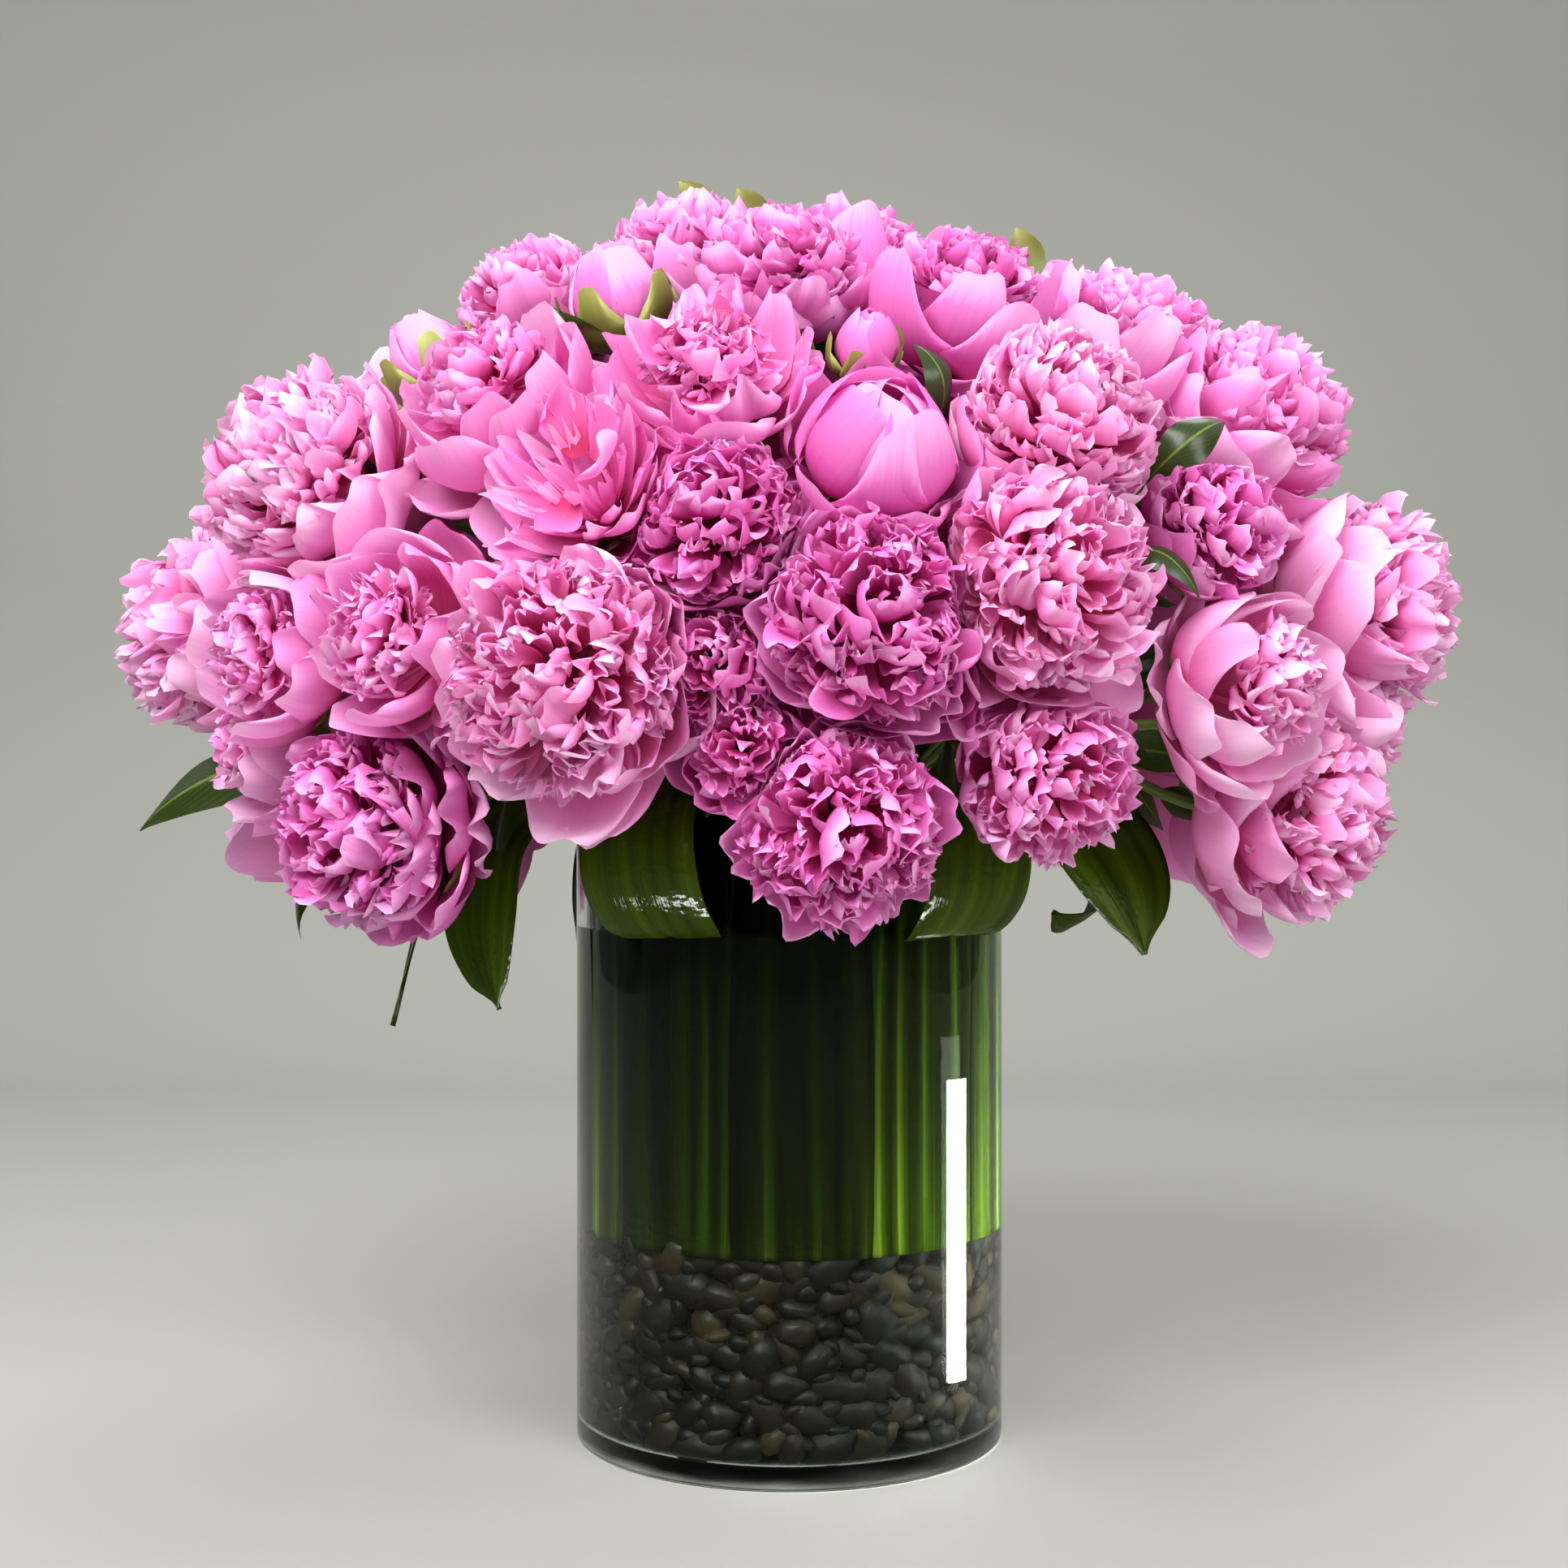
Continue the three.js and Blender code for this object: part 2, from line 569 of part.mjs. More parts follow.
// Strap leaves: each stands on the pebbles against the glass, bends over the rim and ends outside
function strapLeafGeometry(number) {
  const collar = COLLAR[COLLAR_ORDER[number]];
  const stand = (FIRST_LEAF_AZIMUTH + (number * 360) / STRAP_LEAVES) * DEGREE;
  const wall = VASE_RADIUS - GLASS_WALL - 1.5;
  const foot = pebbleTop - 6.3;
  const halfPitch = (Math.PI / STRAP_LEAVES) * wall - 0.25;
  const inside = [
    [wall, foot, halfPitch - 6], [wall, foot + 30, halfPitch],
    [wall, pebbleTop + 120, halfPitch], [wall, VASE_HEIGHT - 14, halfPitch - 6],
    [wall + 0.4, VASE_HEIGHT + 4, halfPitch - 9], [wall + 7.5, VASE_HEIGHT + 8, halfPitch - 10],
  ];
  const stations = [...inside, ...collar.path];
  const rib = stations.map(([radius, height]) => new THREE.Vector2(radius, height));
  const rings = stations.map(([radius, height, half], k) => {
    const ahead = rib[Math.min(k + 1, rib.length - 1)];
    const behind = rib[Math.max(k - 1, 0)];
    const along = ahead.clone().sub(behind).normalize();
    const outside = Math.max(0, k - inside.length + 1) / collar.path.length;
    const azimuth = stand + collar.turn * DEGREE * outside;
    const twist = collar.twist * outside;
    const under = aroundAxis(along.y, azimuth, -along.x);
    const edge = (sign) => aroundAxis(radius, azimuth + (sign * half * Math.cos(twist)) / radius, height)
      .addScaledVector(under, sign * half * Math.sin(twist));
    const lift = STRAP_THICKNESS / 2;
    return [
      edge(-1),
      aroundAxis(radius, azimuth, height).addScaledVector(under, lift),
      edge(1),
      aroundAxis(radius, azimuth, height).addScaledVector(under, -lift),
    ];
  });
  const middle = (ring) => ring[1].clone().add(ring[3]).multiplyScalar(0.5);
  return loft(middle(rings[0]), rings, middle(rings[rings.length - 1]), true);
}

// Bed of pebbles: a heap of stones in rows, each row half a stone further round than the one below.
// Every third ring of points runs through the tops of a row of stones, and the two rings between run
// through the hollows where three stones meet, so each stone is a low six-sided point.
const PEBBLE_COLUMNS = 30;
const PEBBLE_ROWS = 7;
const PEBBLE_DENT = 9;
const PEBBLE_EDGE = 9;

function pebblesGeometry() {
  const outer = VASE_RADIUS - GLASS_WALL - 0.8;
  const floor = GLASS_BASE + SEAT_GAP;
  const rowPitch = (PEBBLE_DEPTH - 2 * PEBBLE_EDGE) / (PEBBLE_ROWS - 1);
  const ring = (number, radius, height, dent, drop) => {
    const points = [];
    for (let k = 0; k < PEBBLE_COLUMNS; k += 1) {
      const sunk = number % 3 === 0 ? 0 : dent * (0.7 + 0.3 * draw(number, k));
      const azimuth = ((k - number / 2) * 2 * Math.PI) / PEBBLE_COLUMNS;
      points.push(aroundAxis(radius - sunk, azimuth, height - drop * sunk));
    }
    return points;
  };
  const rings = [ring(-1, outer - PEBBLE_EDGE, floor, 0, 0)];
  for (let number = 0; number <= 3 * (PEBBLE_ROWS - 1); number += 1) {
    rings.push(ring(number, outer, floor + PEBBLE_EDGE + (number * rowPitch) / 3, PEBBLE_DENT, 0));
  }
  const above = 3 * (PEBBLE_ROWS - 1) + 1;
  rings.push(ring(above, outer - PEBBLE_EDGE + 3, pebbleTop - 3, 3, 1));
  rings.push(ring(above + 1, outer - 2 * PEBBLE_EDGE, pebbleTop, 3, 1));
  rings.push(ring(above + 2, outer - 3 * PEBBLE_EDGE, pebbleTop, 0, 0));
  rings.push(ring(above + 3, outer - 4 * PEBBLE_EDGE, pebbleTop, 3, 1));
  rings.push(ring(above + 5, BUNCH_RADIUS + 14, pebbleTop, 0, 0));
  return loft(new THREE.Vector3(0, 0, floor), rings, new THREE.Vector3(0, 0, pebbleTop));
}

// Water: from the pebbles up to its level, inside the strap leaves, with a plain hole for the bunch
function waterGeometry() {
  const outer = VASE_RADIUS - GLASS_WALL - 5;
  const inner = BUNCH_RADIUS + 1.5;
  const low = pebbleTop + SEAT_GAP;
  const profile = [[inner, low], [outer, low], [outer, WATER_LEVEL], [inner, WATER_LEVEL], [inner, low]];
  return turned(profile, WATER_SIDES);
}

// Vase: straight wall on a thick base, with softened edges
function vaseGeometry() {
  const profile = [
    [0, 0], [VASE_RADIUS - GLASS_EDGE, 0], [VASE_RADIUS, GLASS_EDGE], [VASE_RADIUS, VASE_HEIGHT],
    [VASE_RADIUS - GLASS_WALL, VASE_HEIGHT], [VASE_RADIUS - GLASS_WALL, GLASS_BASE], [0, GLASS_BASE],
  ];
  return turned(profile, VASE_SIDES);
}

// The whole object
const object = new THREE.Group();

function addPiece(name, geometry, material) {
  const mesh = new THREE.Mesh(geometry, material);
  mesh.name = name;
  object.add(mesh);
}

addPiece("vase", vaseGeometry(), clearGlass);
addPiece("pebbles", pebblesGeometry(), riverStone);
addPiece("water", waterGeometry(), clearWater);
for (let number = 0; number < STRAP_LEAVES; number += 1) {
  addPiece(`strap_leaf_${String(number + 1).padStart(2, "0")}`, strapLeafGeometry(number), strapGreen);
}
addPiece("stems", stemsGeometry(), stemGreen);
const flowers = heads.filter((head) => head.form !== "leaf");
for (const name of new Set(flowers.map((head) => head.name))) {
  const geometries = flowers.filter((head) => head.name === name).map(flowerGeometry);
  addPiece(name, geometries.length > 1 ? joined(geometries) : geometries[0], petalPink);
}

export default object;
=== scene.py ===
# %% [markdown]
# # Peonies in a glass cylinder vase
# A dome of pink double peonies stands in a clear glass cylinder. Broad strap leaves line the glass
# and fold over its rim as a collar, and river pebbles and water fill the foot of the vase.
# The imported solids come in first. They fix every place and size in metres, and each step below
# lays a finer surface where a solid stands.

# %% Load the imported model
import math

import bpy
import numpy as np
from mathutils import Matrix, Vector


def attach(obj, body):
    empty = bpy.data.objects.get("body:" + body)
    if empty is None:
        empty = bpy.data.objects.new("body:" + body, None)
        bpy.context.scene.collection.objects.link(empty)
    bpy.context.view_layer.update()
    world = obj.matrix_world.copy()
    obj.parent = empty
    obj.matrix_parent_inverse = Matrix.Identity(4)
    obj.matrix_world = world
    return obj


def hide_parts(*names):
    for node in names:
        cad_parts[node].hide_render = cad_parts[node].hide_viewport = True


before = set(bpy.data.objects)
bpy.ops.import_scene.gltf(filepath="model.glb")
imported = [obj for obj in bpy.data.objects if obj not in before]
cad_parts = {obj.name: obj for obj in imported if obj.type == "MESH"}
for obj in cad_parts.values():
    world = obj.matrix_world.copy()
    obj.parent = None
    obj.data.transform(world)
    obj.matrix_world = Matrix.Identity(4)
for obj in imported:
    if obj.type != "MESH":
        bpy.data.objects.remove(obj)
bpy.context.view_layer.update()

# %% [markdown]
# ## Camera
# The photograph looks level at the vase's rim from about 1.36 m. The camera could be moved by eye
# until the picture fits, but the vase's known width in pixels gives the focal length, so the place
# and the lens are worked out.

# %% Camera at the photograph's viewing angle
# three in pixels of the photograph, two in metres and the sensor's width in millimetres
PHOTO_SIDE = 1932
PHOTO_FOCAL = 2828
VASE_AXIS_COLUMN = 972.5
EYE_DISTANCE = 1.355
EYE_HEIGHT = 0.3805
SENSOR = 36.0

camera_data = bpy.data.cameras.new("camera")
camera_data.sensor_width = SENSOR
camera_data.lens = SENSOR * PHOTO_FOCAL / PHOTO_SIDE
camera = bpy.data.objects.new("camera", camera_data)
eye_across = (PHOTO_SIDE / 2 - VASE_AXIS_COLUMN) * EYE_DISTANCE / PHOTO_FOCAL
camera.location = (eye_across, -EYE_DISTANCE, EYE_HEIGHT)
camera.rotation_euler = (math.radians(90), 0, 0)
bpy.context.collection.objects.link(camera)
bpy.context.scene.camera = camera
print("lens", round(camera_data.lens, 1), "mm")

# %% [markdown]
# ## Helpers
# Colours are picked as sRGB hex values, as a screen shows them, but shaders add up linear light, so
# one function turns them. Another adds a node with its settings and links. Meshes could be built
# vertex by vertex, but there are several hundred thousand vertices here, so each shape is one numpy
# array, worked out in millimetres and handed to Blender in one go.

# %% Colours and nodes
def linear(hex_colour):
    """Each sRGB channel c of a hex colour as linear light: c/12.92 if dark, else a 2.4 power."""
    channels = [int(hex_colour[k:k + 2], 16) / 255 for k in (1, 3, 5)]
    flat = [c / 12.92 if c <= 0.04045 else ((c + 0.055) / 1.055) ** 2.4 for c in channels]
    return (*flat, 1.0)


def add_node(tree, kind, settings=None, links=None):
    """Adds a node and sets its properties, sockets or ramp stops by name. A link names an input and
    gives an output, or a node whose first output is meant."""
    node = tree.nodes.new(kind)
    for name, value in (settings or {}).items():
        if name == "stops":
            while len(node.color_ramp.elements) < len(value):
                node.color_ramp.elements.new(0.5)
            for element, (place, colour) in zip(node.color_ramp.elements, value):
                element.position = place
                element.color = linear(colour)
        elif isinstance(name, str) and hasattr(node, name):
            setattr(node, name, value)
        else:
            node.inputs[name].default_value = value
    for name, source in (links or {}).items():
        output = source.outputs[0] if hasattr(source, "outputs") else source
        tree.links.new(output, node.inputs[name])
    return node


def new_material(name, **surface):
    """A material with one Principled shader whose sockets take the given constants."""
    material = bpy.data.materials.new(name)
    material.use_nodes = True
    shader = material.node_tree.nodes["Principled BSDF"]
    for socket, value in surface.items():
        shader.inputs[socket.replace("_", " ")].default_value = value
    return material, material.node_tree, shader


def let_light_through(tree, shader, share, settings=None, links=None):
    """Lets a share of the light pass a thin skin and come out soft on the other side."""
    through = add_node(tree, "ShaderNodeBsdfTranslucent", settings, links)
    both = add_node(tree, "ShaderNodeMixShader", {"Fac": share}, {1: shader, 2: through})
    tree.links.new(both.outputs[0], tree.nodes["Material Output"].inputs["Surface"])


print("middle grey #808080 is", round(linear("#808080")[0], 3), "in linear light")

# %% Meshes from numpy grids
MM = 0.001


def add_mesh(name, points, faces, material):
    """Makes an object from points (n, 3) in millimetres and face arrays, each (m, 3) or (m, 4)."""
    mesh = bpy.data.meshes.new(name)
    mesh.vertices.add(len(points))
    mesh.vertices.foreach_set("co", np.asarray(points * MM, np.float32).ravel())
    corners = np.concatenate([f.ravel() for f in faces]).astype(np.int32)
    sizes = np.concatenate([np.full(len(f), f.shape[1]) for f in faces])
    starts = np.concatenate([[0], np.cumsum(sizes)[:-1]]).astype(np.int32)
    mesh.loops.add(len(corners))
    mesh.loops.foreach_set("vertex_index", corners)
    mesh.polygons.add(len(sizes))
    mesh.polygons.foreach_set("loop_start", starts)
    mesh.polygons.foreach_set("use_smooth", np.ones(len(sizes), bool))
    mesh.update(calc_edges=True)
    mesh.materials.append(material)
    piece = bpy.data.objects.new(name, mesh)
    bpy.context.collection.objects.link(piece)
    return piece


def set_uv(piece, uv):
    """Gives each face corner the (u, v) of its vertex, in a map named strip."""
    layer = piece.data.uv_layers.new(name="strip")
    corners = np.empty(len(piece.data.loops), np.int32)
    piece.data.loops.foreach_get("vertex_index", corners)
    layer.data.foreach_set("uv", np.asarray(uv, np.float32)[corners].ravel())


def set_tone(piece, *channels):
    """Stores numbers for each vertex in the channels of a colour named tone. The last number fills
    the channels that are left."""
    numbers = np.stack([channels[min(k, len(channels) - 1)] for k in range(4)], -1)
    attribute = piece.data.attributes.new("tone", "FLOAT_COLOR", "POINT")
    attribute.data.foreach_set("color", np.asarray(numbers, np.float32).ravel())


def grid_faces(sheets, rows, columns, ring=False):
    """Quads of equal grids of points laid one after another. A ring joins the last column to the
    first."""
    across = columns if ring else columns - 1
    sheet = np.arange(sheets)[:, None, None] * rows * columns
    row = np.arange(rows - 1)[None, :, None] * columns
    column = np.arange(across)[None, None, :]
    here = sheet + row + column
    beside = sheet + row + (column + 1) % columns
    return np.stack([here, beside, beside + columns, here + columns], -1).reshape(-1, 4)


def sheet_part(sheet):
    """One grid (rows, columns, 3) as points and faces."""
    return sheet.reshape(-1, 3), [grid_faces(1, *sheet.shape[:2])]


def ring_faces(count, sides):
    """Quads between rings of points and a fan at each end, to the two points that come after the
    last ring: first the low end's, then the high end's."""
    k = np.arange(sides)
    low = count * sides
    last = low - sides
    foot = np.stack([np.full(sides, low), (k + 1) % sides, k], -1)
    top = np.stack([np.full(sides, low + 1), last + k, last + (k + 1) % sides], -1)
    return [grid_faces(1, count, sides, ring=True), foot, top]


def closed_rings(rings, low, high):
    """Rings of points (n, sides, 3) and a point at each end, as points and faces."""
    return np.concatenate([rings.reshape(-1, 3), [low, high]]), ring_faces(*rings.shape[:2])


def gathered(parts):
    """Joins (points, [face arrays]) parts into one set of points and faces."""
    offsets = np.cumsum([0] + [len(points) for points, _ in parts[:-1]])
    faces = [f + offset for (_, group), offset in zip(parts, offsets) for f in group]
    return np.concatenate([points for points, _ in parts]), faces


def in_place(piece, slot, *nodes):
    """Hides the CAD nodes that a piece stands for and lets it move with the object. Its slot is
    not used.
    """
    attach(piece, "root")
    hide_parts(*nodes)


print("a grid of 3 by 3 points has", len(grid_faces(1, 3, 3)), "faces")

# %% [markdown]
# ## Floor and light
# A photographer's sweep is one sheet that runs from the floor up into the backdrop, so there is no
# line behind the flowers. It is matt paper, which has no shine of its own. Petals are thin and
# bright, and they show their folds best in one broad light from above the lens, with a weaker one
# on the other side and a pale sky for the shadows.
# Two reflections tell that the vase is glass and its leaves are wet: an upright bar at the right of
# the glass and broken specks on the collar. Large lamps that made them would spoil the soft light,
# so each comes from a small lamp of its own that only the gloss of that piece picks up.

# %% Sweep
SWEEP_HALF = 3000
SWEEP_BACK = 1500
SWEEP_TOP = 3000
SWEEP_ROUND = 700
SWEEP_STEPS = 13
SWEEP_COLUMNS = 4


def sweep_points():
    """A floor, a quarter circle and an upright wall, drawn as one profile carried across."""
    turn = np.linspace(0, math.pi / 2, SWEEP_STEPS)
    depth = np.concatenate([[-SWEEP_HALF], SWEEP_BACK + SWEEP_ROUND * np.sin(turn)])
    height = np.concatenate([[0], SWEEP_ROUND * (1 - np.cos(turn))])
    depth = np.append(depth, depth[-1])[:, None]
    height = np.append(height, SWEEP_TOP)[:, None]
    across = np.linspace(-SWEEP_HALF, SWEEP_HALF, SWEEP_COLUMNS)[None, :]
    return np.stack(np.broadcast_arrays(across, depth, height), -1)


paper, _, _ = new_material(
    "matt background paper", Base_Color=linear("#a2a29c"), Roughness=0.9, Specular_IOR_Level=0.0)
sweep = add_mesh("sweep", *sheet_part(sweep_points()), paper)
print("sweep of", len(sweep.data.polygons), "faces")

# %% World
SKY_STRENGTH = 0.85
world = bpy.data.worlds.new("soft box overhead")
world.use_nodes = True
tree = world.node_tree
background = tree.nodes["Background"]
direction = add_node(tree, "ShaderNodeTexCoord")
upward = add_node(tree, "ShaderNodeSeparateXYZ", links={"Vector": direction.outputs["Generated"]})
sky = add_node(tree, "ShaderNodeValToRGB",
               {"stops": [(0.0, "#565a55"), (0.2, "#5e625d"), (0.55, "#f4f6f4")]},
               {"Fac": upward.outputs["Z"]})
tree.links.new(sky.outputs["Color"], background.inputs["Color"])
background.inputs["Strength"].default_value = SKY_STRENGTH
bpy.context.scene.world = world
bpy.context.scene.view_settings.view_transform = "Standard"
print("world:", world.name)

# %% Lights
DOME_MIDDLE = (0, 0, 0.45)
# name, place, width and height, watts, where it aims
LIGHTS = [
    ("key light", (-0.8, -1.8, 2.0), (1.6, 1.6), 96, DOME_MIDDLE),
    ("fill light", (1.4, -1.7, 1.2), (1.2, 1.2), 30, DOME_MIDDLE),
    ("window light", (0.26, -0.055, 0.1), (0.06, 0.19), 4.5, (0, -0.055, 0.1)),
    ("back light", (0.2, 1.0, 2.2), (1.6, 0.8), 20, DOME_MIDDLE),
    ("glint light", (0, -0.36, 0.02), (0.7, 0.06), 22, (0, -0.165, 0.31)),
]
GLOSS_LIGHTS = ("window light", "glint light")
for light_name, place, (width, height), power, target in LIGHTS:
    light_data = bpy.data.lights.new(light_name, "AREA")
    light_data.shape = "RECTANGLE"
    light_data.size = width
    light_data.size_y = height
    light_data.energy = power
    light = bpy.data.objects.new(light_name, light_data)
    light.location = place
    aim = Vector(np.array(target) - np.array(place))
    light.rotation_euler = aim.to_track_quat("-Z", "Y").to_euler()
    light.visible_camera = False
    light.visible_diffuse = light_name not in GLOSS_LIGHTS
    bpy.context.collection.objects.link(light)


def reflected_only_by(light_name, pieces):
    """Keeps a light that stands for one reflection off every other piece."""
    group = bpy.data.collections.new(light_name)
    for piece in pieces:
        group.objects.link(piece)
    bpy.data.objects[light_name].light_linking.receiver_collection = group


print(len(LIGHTS), "lights")

# %% [markdown]
# ## Where the heads are
# Each flower was sighted on the upright plane through the vase's axis, and its line of sight was
# followed to the dome that the flowers fill. Placing them by hand would be quicker, but the dome
# would drift from the photograph. The same sums are made here as for the solids, in millimetres, so
# the fine petals come out in the same places and no flower crosses another.

# %% Sizes of the dome and the vase
DOME = {
    "halfWidth": 330, "frontDepth": 228, "backDepth": 198, "rise": 204, "drop": 268, "waist": 469,
}
WAIST_POINT = np.array([0, 0, DOME["waist"]], float)
EYE = np.array([0, -1355, 380.0])
VASE_RADIUS = 125
VASE_HEIGHT = 380
NECK_HEIGHT = 350
RIM_CLEARANCE = 26
SEAT_GAP = 0.3
print("dome from", DOME["waist"] - DOME["drop"], "to", DOME["waist"] + DOME["rise"], "mm high")

# %% Flowers and leaves
# name, form, place across and above at which it is sighted, half width there, depth behind the dome
FRONT_FLOWERS = [
    ("peony_01", "bomb", -66, 702, 50, 62), ("peony_02", "cup", 50, 698, 50, 64),
    ("peony_03", "cup", 106, 664, 52, -2), ("peony_04", "cup", 200, 659, 49, -8),
    ("peony_05", "bomb", 240, 660, 42, 82), ("peony_06", "bomb", 275, 597, 54, 10),
    ("peony_07", "bomb", -157, 672, 43, 72), ("peony_08", "bud", -104, 674, 34, 0),
    ("peony_09", "bud", -224, 638, 30, 20), ("peony_10", "bomb", -4, 676, 47, 0),
    ("peony_11", "cup", -174, 609, 53, 0), ("peony_12", "open", -49, 622, 57, 0),
    ("peony_13", "cup", 54, 582, 54, 0), ("peony_14", "bomb", 153, 588, 60, 0),
    ("peony_15", "bomb", -281, 558, 61, 10), ("peony_16", "open", -120, 558, 57, 0),
    ("peony_17", "bomb", -46, 533, 55, 14), ("peony_18", "bomb", 147, 499, 66, -6),
    ("peony_19", "bomb", 246, 531, 43, 10), ("peony_20", "bomb", 350, 486, 58, 24),
    ("peony_21", "bomb", -346, 467, 57, 44), ("peony_22", "cup", -303, 458, 48, -4),
    ("peony_23", "cup", -231, 467, 51, 0), ("peony_24", "bomb", -131, 448, 71, -8),
    ("peony_25", "bomb", -42, 452, 40, 24), ("peony_26", "bomb", 48, 478, 64, 0),
    ("peony_27", "cup", 272, 438, 51, 0), ("peony_28", "bomb", 150, 388, 50, 4),
    ("peony_29", "bomb", 28, 359, 58, -10), ("peony_30", "bomb", -246, 357, 55, 0),
    ("peony_31", "bomb", 296, 362, 55, 0), ("peony_32", "bud", 46, 640, 24, 2),
    ("peony_20", "cup", 338, 412, 44, 30), ("peony_22", "cup", -308, 404, 40, 26),
    ("peony_25", "cup", -28, 402, 40, 14),
]
# height angle over the waist, first and last azimuth, how many, how many to a solid, reach, way out
BACK_ROWS = [
    (62, 122, 238, 3, 1, 60, 0), (35, 104, 256, 5, 1, 61, 0),
    (7, 99, 261, 6, 2, 61, 0), (-17, 99, 261, 6, 2, 60, 20),
]
BACK_FORMS = ["bomb", "cup", "bomb", "open", "bomb"]
PAIR_SHIFT = 0.1
BACK_SCATTER = 5

# place across and above, half length, way the tip points, depth behind the dome
FRONT_LEAVES = [
    (-157, 646, 34, (1, 0.1), 4), (237, 583, 34, (1, 0.35), 0), (86, 622, 26, (-0.5, 1), 8),
    (219, 512, 30, (0.6, -1), 0), (170, 634, 24, (1, -0.3), 0), (-352, 374, 44, (-1, -0.6), 30),
    (-292, 316, 36, (0.7, -1), 10),
]
# height angle over the waist and azimuth
BACK_LEAVES = [(50, 150), (14, 143), (14, 217), (-8, 143)]
BACK_LEAF_SIZE = 36
print(len(FRONT_FLOWERS), "flowers sighted in front")


# %% Directions and places
def draw(seed, index):
    """Repeatable draw from 0 to 1: the fraction of a large sine of the two whole numbers."""
    value = math.sin(seed * 12.9898 + index * 78.233) * 43758.5453
    return value - math.floor(value)


def unit(vector):
    """The same direction with length one, along the last axis."""
    return vector / np.linalg.norm(vector, axis=-1, keepdims=True)


def around_axis(radius, azimuth, height):
    """A place round the vase: azimuth 0 is the front and grows towards the right."""
    return np.stack(np.broadcast_arrays(
        radius * np.sin(azimuth), -radius * np.cos(azimuth), height), -1).astype(float)


def sighted(across, above, back):
    """Where the sight line meets the front of the dome, an ellipsoid, and then 'back' further."""
    direction = unit(np.array([across, 0, above]) - EYE)
    place = None
    for half in (DOME["rise"], DOME["drop"]):
        axes = np.array([DOME["halfWidth"], DOME["frontDepth"], half])
        start, slope = (EYE - WAIST_POINT) / axes, direction / axes
        a, b, c = slope @ slope, start @ slope, start @ start - 1
        reach = (-b - math.sqrt(max(b * b - a * c, 0))) / a
        point = unit(start + slope * reach) * axes + WAIST_POINT
        if place is None or (point[2] < DOME["waist"] and half == DOME["drop"]):
            place = point
    return place + direction * back


def on_back(angle, azimuth):
    """A place on the back of the dome from its height angle and azimuth in degrees."""
    half = DOME["rise"] if angle > 0 else DOME["drop"]
    spread = math.cos(math.radians(angle))
    turn = math.radians(azimuth)
    return np.array([
        DOME["halfWidth"] * spread * math.sin(turn), -DOME["backDepth"] * spread * math.cos(turn),
        DOME["waist"] + half * math.sin(math.radians(angle)),
    ])


print("front of the dome at eye height:", sighted(0, EYE[2], 0).round(1))

# %% Heads
SQUARE_SHARE = 0.55
LOWEST_FACE = -0.12


def facing(centre):
    """The way a head faces: partly square to the dome, partly away from the vase's neck."""
    depth = DOME["backDepth"] if centre[1] > 0 else DOME["frontDepth"]
    height = DOME["rise"] if centre[2] > DOME["waist"] else DOME["drop"]
    square = unit((centre - WAIST_POINT) / np.array([DOME["halfWidth"], depth, height]) ** 2)
    from_neck = unit(centre - np.array([0, 0, NECK_HEIGHT]))
    face = SQUARE_SHARE * square + (1 - SQUARE_SHARE) * from_neck
    face[2] = max(face[2], LOWEST_FACE)
    return unit(face)


def head(name, form, seed, centre, reach, tip=None):
    """One flower or leaf at the end of its stem, with the three directions of its own frame."""
    face = facing(centre)
    side = unit(np.cross([0, 0, 1.0], face))
    over = np.cross(face, side)
    return dict(name=name, form=form, seed=seed, centre=centre, reach=reach, tip=tip,
                face=face, side=side, over=over)


def sighted_head(name, form, seed, across, above, size, back, tip=None):
    """A head in front: its size grows with its distance from the eye."""
    centre = sighted(across, above, back)
    return head(name, form, seed, centre, size * (centre[1] - EYE[1]) / -EYE[1], tip)


heads = [
    sighted_head(name, form, k + 1, across, above, size, back)
    for k, (name, form, across, above, size, back) in enumerate(FRONT_FLOWERS)
]
node_number = len({h["name"] for h in heads}) + 1
for r, (angle, first, last, count, together, size, out) in enumerate(BACK_ROWS):
    for k in range(count):
        seed = 101 + r * 10 + k
        partner = PAIR_SHIFT * (-1) ** k if together == 2 else 0
        azimuth = (first + last) / 2 + (k - (count - 1) / 2 + partner) * (last - first) / count
        centre = on_back(angle + BACK_SCATTER * (draw(seed, 1) - 0.5), azimuth)
        centre = centre + around_axis(out, math.radians(azimuth), 0)
        form = BACK_FORMS[(r * 2 + k) % len(BACK_FORMS)]
        heads.append(head(f"peony_{node_number}", form, seed, centre, size))
        if together == 1 or k % 2 == 1:
            node_number += 1
for k, (across, above, size, tip, back) in enumerate(FRONT_LEAVES):
    heads.append(sighted_head(f"leaf_{k}", "leaf", 201 + k, across, above, size, back, tip))
for k, (angle, azimuth) in enumerate(BACK_LEAVES):
    tip = (draw(k, 5) - 0.5, draw(k, 6) - 0.7)
    centre = on_back(angle, azimuth)
    heads.append(head(f"back_leaf_{k}", "leaf", 221 + k, centre, BACK_LEAF_SIZE, tip))

flowers = [h for h in heads if h["form"] != "leaf"]
leaves = [h for h in heads if h["form"] == "leaf"]
print(len(flowers), "flowers and", len(leaves), "leaves")

# %% [markdown]
# ## Flowers that press on each other
# In a tight bunch the petals of one flower give way to the next. A cloth simulation could find
# that, but it would be slow and hard to steer. Here halfway planes between the heads are the
# limits, and every point of a petal is drawn towards its flower's centre, the more the nearer it
# comes to one.

# %% Limits and pressing
NEIGHBOUR_GAP = 0.8
NEIGHBOUR_RANGE = 60
PETAL_PRESS = 6
ABOVE_RIM = 10
SPREAD = 1.17
TINY = 1e-6


